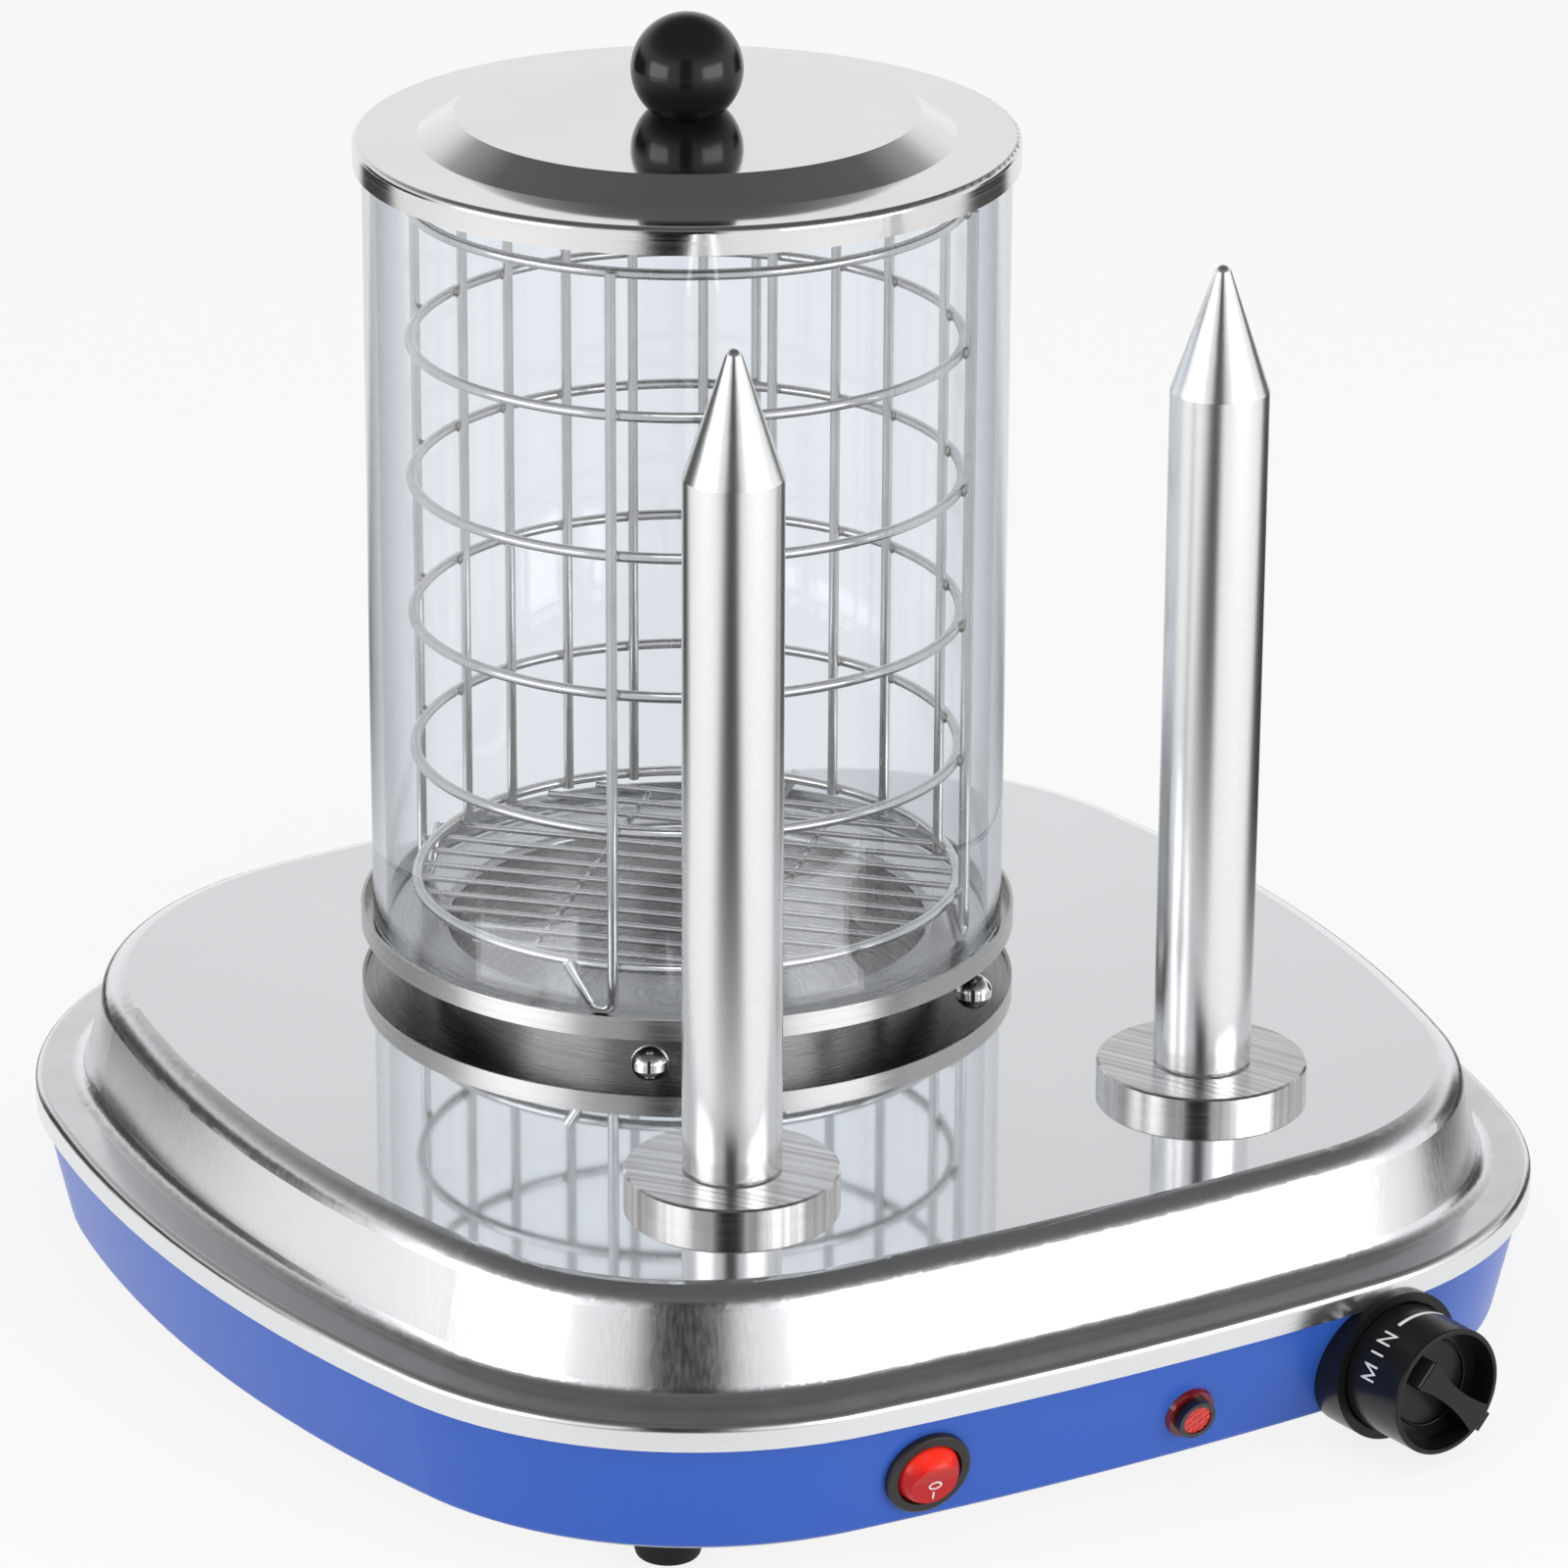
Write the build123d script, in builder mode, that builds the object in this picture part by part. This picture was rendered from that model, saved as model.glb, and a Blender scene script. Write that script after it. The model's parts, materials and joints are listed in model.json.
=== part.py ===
"""Two-spike hot dog machine: a square painted base under a polished steel cover, two heated
spikes at the front, and a water tray that carries a wire basket inside a lidded glass cylinder.

Frame: millimetres, +Z up, feet on Z = 0, front face towards -Y, origin under the middle of the base.
"""
from build123d import *

import os
from math import asin, atan, cos, degrees, radians, sin, sqrt

os.makedirs("parts", exist_ok=True)

# Where the glass, basket, tray and lid share their upright axis.
AXIS_Y = 63.6

# Heights above the table.
FOOT_H = 7.8
PLATE_T = 1.2
SHELL_Z = FOOT_H + PLATE_T
LIP_Z = 43.0
FLANGE_Z = 51.1
PLATEAU_Z = 81.2
TRAY_RIM_Z = 96.4
TRAY_FLOOR_Z = 92.0
BOTTOM_RING_Z = 106.1
RING_PITCH = 42.3
RING_COUNT = 6
TOP_RING_Z = BOTTOM_RING_Z + RING_PITCH * (RING_COUNT - 1)
GLASS_H = 242.6
GLASS_TOP_Z = TRAY_FLOOR_Z + GLASS_H

# Base outline: four bowed sides joined by round corners.
HALF_WIDTH = 202.4
FRONT_Y = AXIS_Y - 255.0
REAR_Y = AXIS_Y + 149.5
SIDE_Y = AXIS_Y - 42.6
FRONT_BOW = 1200.0
REAR_BOW = 780.0
SIDE_BOW = 473.0
FRONT_CORNER = 112.5
REAR_CORNER = 128.0

# Distances in from the flange edge.
SLOPE_FOOT = 15.0
SLOPE_TOP = 22.0
WALL_TOP = 2.0
WALL_FOOT = 9.6

# Sheet thicknesses and drawn radii.
SHEET = 1.0
WALL_T = 1.2
SHOULDER_R = 8.0
FOOT_R = 5.0
LIP_R = 2.5

# Glass, lid, tray and basket, all round the glass axis.
GLASS_R = 95.0
GLASS_T = 4.0
LID_R = 97.6
LID_SKIRT = 8.0
LID_RISE = 7.0
LID_BEVEL_R = 78.7
LID_CROWN_R = 68.0
TRAY_R = 98.6
WELL_R = 72.0
WELL_FLOOR_Z = 65.0
RING_R = 81.5
WIRE_R = 1.6
LEG_START = 46.0
UPRIGHT_START = 99.0
UPRIGHT_STEP = 16.0
UPRIGHT_COUNT = 8
SIDE_UPRIGHT = 72.0

# Spikes.
SPIKE_X = 78.3
SPIKE_Y = AXIS_Y - 164.8
SPIKE_R = 14.1
SPIKE_SHOULDER_Z = PLATEAU_Z + 209.9
SPIKE_TIP_Z = PLATEAU_Z + 246.2
SPIKE_TIP_R = 2.3
DISC_R = 30.5
DISC_H = 6.6

# Fixing of the tray seat.
STUD_X = 55.25
STUD_Y = 76.05

# Controls on the front wall.
SWITCH_X = -63.8
SWITCH_Z = 25.2
LAMP_X = 21.5
LAMP_Z = 23.3
KNOB_Z = 24.0
KNOB_TURN = 6.5
KNOB_X = 87.3
KNOB_Y = AXIS_Y - 245.2
COLLAR_R = 22.2
COLLAR_L = 8.6
COLLAR_WEB = 5.0
KNOB_R = 18.9
KNOB_L = 30.0
KNOB_BAR_TURN = -43.0
POCKET_R = 17.4
POCKET_DEPTH = 8.0
LUG_W = 6.0
NECK_R = 4.8
SHAFT_R = 3.0
SWITCH_BEZEL_R = 12.8
SWITCH_HOLE_R = 11.3
ROCKER_R = 9.6
ROCKER_PIN_R = 1.2
ROCKER_TILT = 9.0
ROCKER_VEE = 4.0
ROCKER_FACE = 6.4
LAMP_R = 7.9
LAMP_RING_R = 5.9
LAMP_LENS_R = 4.4
LAMP_HOLE_R = 5.7
GLAND_X = 58.0
GLAND_Z = 26.0
GLAND_R = 7.8

# Hidden fittings.
FOOT_X = 125.6
FOOT_FRONT_Y = AXIS_Y - 212.5
FOOT_REAR_Y = AXIS_Y + 104.0
SEAT_R = 76.0
SEAT_FLANGE_R = 101.0
SEAT_FLOOR_Z = 55.0
HEATER_R = 68.0
HEATER_T = 8.0
ELEMENT_R = 50.0
ELEMENT_TUBE_R = 3.2
COLD_END_X = 14.0
SPIGOT_R = 8.0
SPIGOT_Z = 64.0
HEATER_ROD_R = 6.0
HEATER_ROD_L = 170.0
LID_Z = GLASS_TOP_Z + SHEET
LID_PIN_R = 2.6
KNOB_BALL_R = 16.5
KNOB_BALL_Z = PLATEAU_Z + 273.6
TRAY_BAND = 6.4
HAIRPIN_W = 14.0
HAIRPIN_FOOT = 6.0
HAIRPIN_R = 2.9
WELD = 0.06
FLOOR_WIRE_R = 1.0
FLOOR_PITCH = 11.0
FLOOR_ROWS = 6


def plan(inset):
    """The base outline seen from above, drawn in evenly by inset."""
    with BuildSketch() as outline:
        with Locations((0, FRONT_Y + FRONT_BOW)):
            Circle(FRONT_BOW - inset)
        with Locations((0, REAR_Y - REAR_BOW)):
            Circle(REAR_BOW - inset, mode=Mode.INTERSECT)
        with Locations((HALF_WIDTH - SIDE_BOW, SIDE_Y)):
            Circle(SIDE_BOW - inset, mode=Mode.INTERSECT)
        with Locations((SIDE_BOW - HALF_WIDTH, SIDE_Y)):
            Circle(SIDE_BOW - inset, mode=Mode.INTERSECT)
        fillet(outline.vertices().group_by(Axis.Y)[0], FRONT_CORNER - inset)
        fillet(outline.vertices().group_by(Axis.Y)[-1], REAR_CORNER - inset)
    return outline.sketch


def cover_form(skin):
    """The drawn cover as a solid, shrunk by skin on every side."""
    slope_foot = plan(SLOPE_FOOT + skin)
    slope_top = plan(SLOPE_TOP + skin)
    flange = plan(skin)
    with BuildPart() as form:
        with BuildSketch(Plane.XY.offset(LIP_Z)):
            add(slope_foot)
        with BuildSketch(Plane.XY.offset(FLANGE_Z - skin)):
            add(slope_foot)
        loft(ruled=True)
        with BuildSketch(Plane.XY.offset(FLANGE_Z - skin)):
            add(slope_foot)
        with BuildSketch(Plane.XY.offset(PLATEAU_Z - skin)):
            add(slope_top)
        loft(ruled=True)
        fillet(form.faces().sort_by(Axis.Z)[-1].edges(), SHOULDER_R - skin)
        with BuildSketch(Plane.XY.offset(LIP_Z)):
            add(flange)
        extrude(amount=FLANGE_Z - skin - LIP_Z)
        step = form.faces().filter_by(GeomType.PLANE).group_by(Axis.Z)[-2][0]
        fillet(step.inner_wires()[0].edges(), FOOT_R + skin)
        step = form.faces().filter_by(GeomType.PLANE).group_by(Axis.Z)[-2][0]
        fillet(step.outer_wire().edges(), LIP_R - skin)
    return form.part


def front_plane(x, z):
    """A plane on the painted front wall, its Z axis square to the leaning wall."""
    inset = WALL_TOP + (LIP_Z - z) * (WALL_FOOT - WALL_TOP) / (LIP_Z - SHELL_Z)
    radius = FRONT_BOW - inset
    side = x / radius
    ahead = -sqrt(1 - side**2)
    lean = atan((WALL_FOOT - WALL_TOP) / (LIP_Z - SHELL_Z))
    return Plane(
        origin=(x, FRONT_Y + FRONT_BOW + radius * ahead, z),
        x_dir=(-ahead, side, 0),
        z_dir=(side * cos(lean), ahead * cos(lean), -sin(lean)),
    )


def rear_plane(x, z):
    """A plane on the painted rear wall, square to the leaning wall."""
    inset = WALL_TOP + (LIP_Z - z) * (WALL_FOOT - WALL_TOP) / (LIP_Z - SHELL_Z)
    radius = REAR_BOW - inset
    side = x / radius
    back = sqrt(1 - side**2)
    lean = atan((WALL_FOOT - WALL_TOP) / (LIP_Z - SHELL_Z))
    return Plane(
        origin=(x, REAR_Y - REAR_BOW + radius * back, z),
        x_dir=(-back, side, 0),
        z_dir=(side * cos(lean), back * cos(lean), -sin(lean)),
    )


def wall_form(skin):
    """The painted shell as a solid, shrunk by skin on every side."""
    foot = plan(WALL_FOOT + skin)
    top = plan(WALL_TOP + skin)
    with BuildPart() as form:
        with BuildSketch(Plane.XY.offset(SHELL_Z + skin)):
            add(foot)
        with BuildSketch(Plane.XY.offset(LIP_Z)):
            add(top)
        loft(ruled=True)
        fillet(form.faces().sort_by(Axis.Z)[0].edges(), 2.0 - skin)
        with BuildSketch(Plane.XY.offset(LIP_Z)):
            add(top)
        extrude(amount=FLANGE_Z - SHEET - skin - LIP_Z)
        fillet(form.faces().sort_by(Axis.Z)[-1].edges(), 2.0 - skin)
    return form.part


cover_outside = cover_form(0)
cover_inside = cover_form(SHEET)
wall_outside = wall_form(0)
wall_inside = wall_form(WALL_T)

switch_plane = front_plane(SWITCH_X, SWITCH_Z)
lamp_plane = front_plane(LAMP_X, LAMP_Z)
gland_plane = rear_plane(GLAND_X, GLAND_Z)
knob_plane = Plane(
    origin=(KNOB_X, KNOB_Y, KNOB_Z),
    x_dir=(cos(radians(KNOB_TURN)), sin(radians(KNOB_TURN)), 0),
    z_dir=(sin(radians(KNOB_TURN)), -cos(radians(KNOB_TURN)), 0),
)
axis_plane = Plane(origin=(0, AXIS_Y, 0), x_dir=(1, 0, 0), z_dir=(0, -1, 0))
element_turn = degrees(asin(COLD_END_X / ELEMENT_R))
element_z = SEAT_FLOOR_Z + SHEET + ELEMENT_TUBE_R
cold_end_y = AXIS_Y - ELEMENT_R * cos(radians(element_turn))
spike_spots = [(-SPIKE_X, SPIKE_Y), (SPIKE_X, SPIKE_Y)]
stud_spots = [
    (-STUD_X, AXIS_Y - STUD_Y),
    (STUD_X, AXIS_Y - STUD_Y),
    (STUD_X, AXIS_Y + STUD_Y),
    (-STUD_X, AXIS_Y + STUD_Y),
]
foot_spots = [
    (-FOOT_X, FOOT_FRONT_Y),
    (FOOT_X, FOOT_FRONT_Y),
    (-FOOT_X, FOOT_REAR_Y),
    (FOOT_X, FOOT_REAR_Y),
]

# Painted lower shell: a leaning wall with a return at its top and foot.
with BuildPart() as base_shell:
    add(wall_outside)
    add(wall_inside, mode=Mode.SUBTRACT)
    with BuildSketch(Plane.XY.offset(FLANGE_Z - 5)):
        add(plan(SLOPE_FOOT + 1))
    extrude(amount=10, mode=Mode.SUBTRACT)
    with BuildSketch(Plane.XY.offset(SHELL_Z - 1)):
        add(plan(WALL_FOOT + 16))
    extrude(amount=5, mode=Mode.SUBTRACT)
    with BuildSketch(Plane.XY.offset(SHELL_Z - 1)):
        with Locations(*foot_spots):
            Circle(5.2)
    extrude(amount=5, mode=Mode.SUBTRACT)
    with BuildSketch(switch_plane):
        Circle(SWITCH_HOLE_R)
    extrude(amount=8, both=True, mode=Mode.SUBTRACT)
    with BuildSketch(lamp_plane):
        Circle(LAMP_HOLE_R)
    extrude(amount=8, both=True, mode=Mode.SUBTRACT)
    with BuildSketch(knob_plane):
        Circle(NECK_R + 0.3)
    extrude(amount=12, both=True, mode=Mode.SUBTRACT)
    with BuildSketch(gland_plane):
        Circle(GLAND_R + 0.2)
    extrude(amount=8, both=True, mode=Mode.SUBTRACT)
base_shell.part.label = "base_shell"
export_step(base_shell.part, "parts/base_shell.step")

# Polished cover: drawn from one sheet, with the flange lip rolled down over the shell.
with BuildPart() as top_cover:
    add(cover_outside)
    add(cover_inside, mode=Mode.SUBTRACT)
    with BuildSketch(Plane.XY.offset(PLATEAU_Z - 5)):
        with Locations((0, AXIS_Y)):
            Circle(SEAT_R + 0.5)
        with Locations(*stud_spots):
            Circle(3.1)
        with Locations(*spike_spots):
            Circle(SPIGOT_R + 0.2)
    extrude(amount=10, mode=Mode.SUBTRACT)
top_cover.part.label = "top_cover"
export_step(top_cover.part, "parts/top_cover.step")

# Floor of the base, with pressed nuts for the feet and rows of air slots.
with BuildPart() as bottom_plate:
    with BuildSketch(Plane.XY.offset(FOOT_H)):
        add(plan(WALL_FOOT + 3))
        with Locations((0, -60), (0, 120)):
            with GridLocations(16, 40, 9, 1):
                SlotOverall(34, 4, rotation=90, mode=Mode.SUBTRACT)
    extrude(amount=PLATE_T)
    with BuildSketch(Plane.XY.offset(SHELL_Z)):
        with Locations(*foot_spots):
            Circle(4.5)
    extrude(amount=3)
    with BuildSketch(Plane.XY.offset(FOOT_H - 1)):
        with Locations(*foot_spots):
            Circle(2.1)
    extrude(amount=8, mode=Mode.SUBTRACT)
bottom_plate.part.label = "bottom_plate"
export_step(bottom_plate.part, "parts/bottom_plate.step")

# Four rubber feet, each held by a screw whose head is sunk in it.
for number, spot in enumerate(foot_spots, start=1):
    with BuildPart() as foot:
        with BuildSketch(Plane.XY):
            with Locations(spot):
                Circle(8.8)
        with BuildSketch(Plane.XY.offset(FOOT_H)):
            with Locations(spot):
                Circle(10.8)
        loft(ruled=True)
        fillet(foot.faces().sort_by(Axis.Z)[0].edges(), 1.5)
        with Locations(Location((spot[0], spot[1], 0), (180, 0, 0))):
            CounterBoreHole(2.1, 4.8, 4.0, depth=FOOT_H + 1)
    foot.part.label = f"foot_{number}"
    export_step(foot.part, f"parts/foot_{number}.step")
    with BuildPart() as foot_screw:
        with BuildSketch(Plane.XY.offset(1.2)):
            with Locations(spot):
                Circle(4.0)
        extrude(amount=2.8)
        with BuildSketch(Plane.XY.offset(4.0)):
            with Locations(spot):
                Circle(2.0)
        extrude(amount=9)
        fillet(foot_screw.faces().sort_by(Axis.Z)[0].edges(), 0.8)
    foot_screw.part.label = f"foot_screw_{number}"
    export_step(foot_screw.part, f"parts/foot_screw_{number}.step")

# Fixed seat that hangs in the cover's round opening and holds the heated plate.
with BuildPart() as tray_seat:
    with BuildSketch(axis_plane):
        with Locations((SEAT_R / 2, SEAT_FLOOR_Z + SHEET / 2)):
            Rectangle(SEAT_R, SHEET)
        with Locations((SEAT_R - SHEET / 2, (SEAT_FLOOR_Z + PLATEAU_Z - SHEET) / 2)):
            Rectangle(SHEET, PLATEAU_Z - SHEET - SEAT_FLOOR_Z)
        with Locations(((SEAT_R + SEAT_FLANGE_R) / 2 - SHEET / 2, PLATEAU_Z - 1.5 * SHEET)):
            Rectangle(SEAT_FLANGE_R - SEAT_R + SHEET, SHEET)
    revolve(axis=Axis((0, AXIS_Y, 0), (0, 0, 1)))
    with BuildSketch(Plane.XY.offset(PLATEAU_Z - 5)):
        with Locations(*stud_spots):
            Circle(3.1)
    extrude(amount=5, mode=Mode.SUBTRACT)
    with BuildSketch(Plane.XY.offset(SEAT_FLOOR_Z - 1)):
        with Locations((0, AXIS_Y)):
            Circle(3.2)
        with Locations((-COLD_END_X, cold_end_y), (COLD_END_X, cold_end_y)):
            Circle(ELEMENT_TUBE_R + 0.6)
    extrude(amount=3, mode=Mode.SUBTRACT)
tray_seat.part.label = "tray_seat"
export_step(tray_seat.part, "parts/tray_seat.step")

# Dome-headed screws round the seat and their nuts under the cover.
for number, (x, y) in enumerate(stud_spots, start=1):
    with BuildPart() as cover_screw:
        with BuildSketch(Plane(origin=(x, y, PLATEAU_Z), x_dir=(1, 0, 0), z_dir=(0, -1, 0))):
            with BuildLine():
                Polyline((0, 5.2), (0, -12.0), (2.9, -12.0), (2.9, 0), (5.5, 0), (5.5, 1.2))
                TangentArc((0, 5.2), (5.5, 1.2), tangent=(1, 0))
            make_face()
        revolve(axis=Axis((x, y, 0), (0, 0, 1)))
    cover_screw.part.label = f"cover_screw_{number}"
    export_step(cover_screw.part, f"parts/cover_screw_{number}.step")
    with BuildPart() as cover_nut:
        with BuildSketch(Plane.XY.offset(PLATEAU_Z - 2 * SHEET - 5)):
            with Locations((x, y)):
                RegularPolygon(5.0, 6, major_radius=False)
                Circle(2.95, mode=Mode.SUBTRACT)
        extrude(amount=5)
    cover_nut.part.label = f"cover_nut_{number}"
    export_step(cover_nut.part, f"parts/cover_nut_{number}.step")

# Heated plate in the seat, grooved underneath for the heating element.
with BuildPart() as heater_plate:
    with BuildSketch(Plane.XY.offset(SEAT_FLOOR_Z + SHEET)):
        with Locations((0, AXIS_Y)):
            Circle(HEATER_R)
    extrude(amount=HEATER_T)
    fillet(heater_plate.faces().sort_by(Axis.Z)[-1].edges(), 1.0)
    with BuildSketch(axis_plane):
        with Locations((ELEMENT_R, SEAT_FLOOR_Z + SHEET + ELEMENT_TUBE_R)):
            Circle(ELEMENT_TUBE_R + 0.1)
        with Locations((ELEMENT_R, SEAT_FLOOR_Z + SHEET)):
            Rectangle(2 * ELEMENT_TUBE_R + 0.2, 2 * ELEMENT_TUBE_R)
    revolve(axis=Axis((0, AXIS_Y, 0), (0, 0, 1)), mode=Mode.SUBTRACT)
    with BuildSketch(Plane.XY.offset(SEAT_FLOOR_Z + SHEET)):
        with Locations((0, AXIS_Y)):
            Circle(3.05)
    extrude(amount=5, mode=Mode.SUBTRACT)
heater_plate.part.label = "heater_plate"
export_step(heater_plate.part, "parts/heater_plate.step")

# Tubular element: an open ring whose two cold ends turn down through the seat.
with BuildPart() as heating_element:
    with BuildLine(Plane(origin=(0, AXIS_Y, element_z))) as element_path:
        CenterArc((0, 0), ELEMENT_R, -90 + element_turn, 360 - 2 * element_turn)
    with BuildSketch(Plane(origin=element_path.line @ 0, z_dir=element_path.line % 0)):
        Circle(ELEMENT_TUBE_R)
    sweep(path=element_path.line)
    for end in (element_path.line @ 0, element_path.line @ 1):
        with BuildSketch(Plane.XY.offset(element_z)):
            with Locations((end.X, end.Y)):
                Circle(ELEMENT_TUBE_R)
        extrude(amount=-16)
        with BuildSketch(Plane.XY.offset(element_z)):
            with Locations((end.X, end.Y)):
                Circle(1.2)
        extrude(amount=-24)
        with Locations(end):
            Sphere(ELEMENT_TUBE_R)
heating_element.part.label = "heating_element"
export_step(heating_element.part, "parts/heating_element.step")

# Stud and nut that clamp the heated plate to the seat.
with BuildPart() as heater_stud:
    with BuildSketch(Plane.XY.offset(SEAT_FLOOR_Z - 8)):
        with Locations((0, AXIS_Y)):
            Circle(2.95)
    extrude(amount=8 + SHEET + 4.8)
    chamfer(heater_stud.faces().sort_by(Axis.Z)[0].edges(), 0.6)
heater_stud.part.label = "heater_stud"
export_step(heater_stud.part, "parts/heater_stud.step")

with BuildPart() as heater_nut:
    with BuildSketch(Plane.XY.offset(SEAT_FLOOR_Z - 5)):
        with Locations((0, AXIS_Y)):
            RegularPolygon(5.0, 6, major_radius=False)
            Circle(3.0, mode=Mode.SUBTRACT)
    extrude(amount=5)
heater_nut.part.label = "heater_nut"
export_step(heater_nut.part, "parts/heater_nut.step")

# Safety cut-out pressed against the underside of the seat.
with BuildPart() as thermal_cutout:
    with BuildSketch(Plane.XY.offset(SEAT_FLOOR_Z - 1)):
        with Locations((28, AXIS_Y)):
            SlotOverall(26, 8)
            Circle(8)
    extrude(amount=1)
    with BuildSketch(Plane.XY.offset(SEAT_FLOOR_Z - 9)):
        with Locations((28, AXIS_Y)):
            Circle(8)
    extrude(amount=8)
    with BuildSketch(Plane.XY.offset(SEAT_FLOOR_Z - 17)):
        with Locations((24, AXIS_Y), (32, AXIS_Y)):
            Rectangle(0.8, 6.3)
    extrude(amount=8)
thermal_cutout.part.label = "thermal_cutout"
export_step(thermal_cutout.part, "parts/thermal_cutout.step")

# Water tray: rolled rim, flat ledge for glass and basket, and a deep round well.
with BuildPart() as water_tray:
    with BuildSketch(axis_plane):
        with BuildLine():
            Polyline(
                (0, WELL_FLOOR_Z - SHEET),
                (WELL_R + SHEET, WELL_FLOOR_Z - SHEET),
                (WELL_R + SHEET, TRAY_FLOOR_Z - SHEET),
                (TRAY_R - SHEET, TRAY_FLOOR_Z - SHEET),
                (TRAY_R - SHEET, TRAY_RIM_Z - TRAY_BAND),
                (TRAY_R, TRAY_RIM_Z - TRAY_BAND),
                (TRAY_R, TRAY_RIM_Z),
                (TRAY_R - SHEET, TRAY_RIM_Z),
                (TRAY_R - SHEET, TRAY_FLOOR_Z),
                (WELL_R, TRAY_FLOOR_Z),
                (WELL_R, WELL_FLOOR_Z),
                (0, WELL_FLOOR_Z),
                close=True,
            )
        make_face()
    revolve(axis=Axis((0, AXIS_Y, 0), (0, 0, 1)))
    fillet(
        water_tray.edges()
        .filter_by(GeomType.CIRCLE)
        .filter_by_position(Axis.Z, TRAY_FLOOR_Z - 0.01, TRAY_FLOOR_Z + 0.01)
        .sort_by(SortBy.RADIUS)[0],
        2.5,
    )
water_tray.part.label = "water_tray"
export_step(water_tray.part, "parts/water_tray.step")

# Glass cylinder, with its cut ends rounded.
with BuildPart() as glass_cylinder:
    with BuildSketch(Plane.XY.offset(TRAY_FLOOR_Z)):
        with Locations((0, AXIS_Y)):
            Circle(GLASS_R)
            Circle(GLASS_R - GLASS_T, mode=Mode.SUBTRACT)
    extrude(amount=GLASS_H)
    fillet(glass_cylinder.edges().filter_by(GeomType.CIRCLE), 1.2)
glass_cylinder.part.label = "glass_cylinder"
export_step(glass_cylinder.part, "parts/glass_cylinder.step")

# Lid: a spun cap with a raised crown and a short skirt outside the glass.
with BuildPart() as lid_shell:
    with BuildSketch(axis_plane):
        with BuildLine():
            Polyline(
                (LID_PIN_R, LID_Z + LID_RISE),
                (LID_CROWN_R, LID_Z + LID_RISE),
                (LID_BEVEL_R, LID_Z),
                (LID_R, LID_Z),
                (LID_R, LID_Z - LID_SKIRT),
                (LID_R - SHEET, LID_Z - LID_SKIRT),
                (LID_R - SHEET, LID_Z - SHEET),
                (LID_BEVEL_R - 0.4, LID_Z - SHEET),
                (LID_CROWN_R - 0.4, LID_Z + LID_RISE - SHEET),
                (LID_PIN_R, LID_Z + LID_RISE - SHEET),
                close=True,
            )
        make_face()
    revolve(axis=Axis((0, AXIS_Y, 0), (0, 0, 1)))
    fillet(
        lid_shell.edges()
        .filter_by(GeomType.CIRCLE)
        .filter_by_position(Axis.Z, LID_Z - 0.01, LID_Z + 0.01)
        .sort_by(SortBy.RADIUS)[-1],
        1.8,
    )
lid_shell.part.label = "lid_shell"
export_step(lid_shell.part, "parts/lid_shell.step")

# Ball knob with a flat foot, held by a screw from inside the lid.
with BuildPart() as lid_knob:
    with Locations((0, AXIS_Y, KNOB_BALL_Z)):
        Sphere(KNOB_BALL_R)
    split(bisect_by=Plane.XY.offset(LID_Z + LID_RISE), keep=Keep.TOP)
    with BuildSketch(Plane.XY.offset(LID_Z + LID_RISE)):
        with Locations((0, AXIS_Y)):
            Circle(2.55)
    extrude(amount=14, mode=Mode.SUBTRACT)
lid_knob.part.label = "lid_knob"
export_step(lid_knob.part, "parts/lid_knob.step")

with BuildPart() as lid_knob_screw:
    with BuildSketch(Plane.XY.offset(LID_Z + LID_RISE - SHEET - 3)):
        with Locations((0, AXIS_Y)):
            Circle(4.5)
    extrude(amount=3)
    fillet(lid_knob_screw.faces().sort_by(Axis.Z)[0].edges(), 1.2)
    with BuildSketch(Plane.XY.offset(LID_Z + LID_RISE - SHEET)):
        with Locations((0, AXIS_Y)):
            Circle(2.5)
    extrude(amount=13)
lid_knob_screw.part.label = "lid_knob_screw"
export_step(lid_knob_screw.part, "parts/lid_knob_screw.step")

# Wire basket: stacked rings with upright wires welded inside them and four legs outside.
with BuildPart() as basket_rings:
    for level in range(RING_COUNT):
        with Locations((0, AXIS_Y, BOTTOM_RING_Z + level * RING_PITCH)):
            Torus(RING_R, WIRE_R)
basket_rings.part.label = "basket_rings"
export_step(basket_rings.part, "parts/basket_rings.step")

upright_r = RING_R - 2 * WIRE_R + WELD
with BuildPart() as basket_uprights:
    with BuildSketch(Plane.XY.offset(BOTTOM_RING_Z - 0.8)):
        with Locations((0, AXIS_Y)):
            with PolarLocations(
                upright_r,
                UPRIGHT_COUNT,
                start_angle=UPRIGHT_START - 90,
                angular_range=UPRIGHT_STEP * (UPRIGHT_COUNT - 1),
                endpoint=True,
            ):
                Circle(WIRE_R)
            with PolarLocations(upright_r, 1, start_angle=SIDE_UPRIGHT - 90):
                Circle(WIRE_R)
    extrude(amount=TOP_RING_Z - BOTTOM_RING_Z + 1.6)
basket_uprights.part.label = "basket_uprights"
export_step(basket_uprights.part, "parts/basket_uprights.step")

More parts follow.
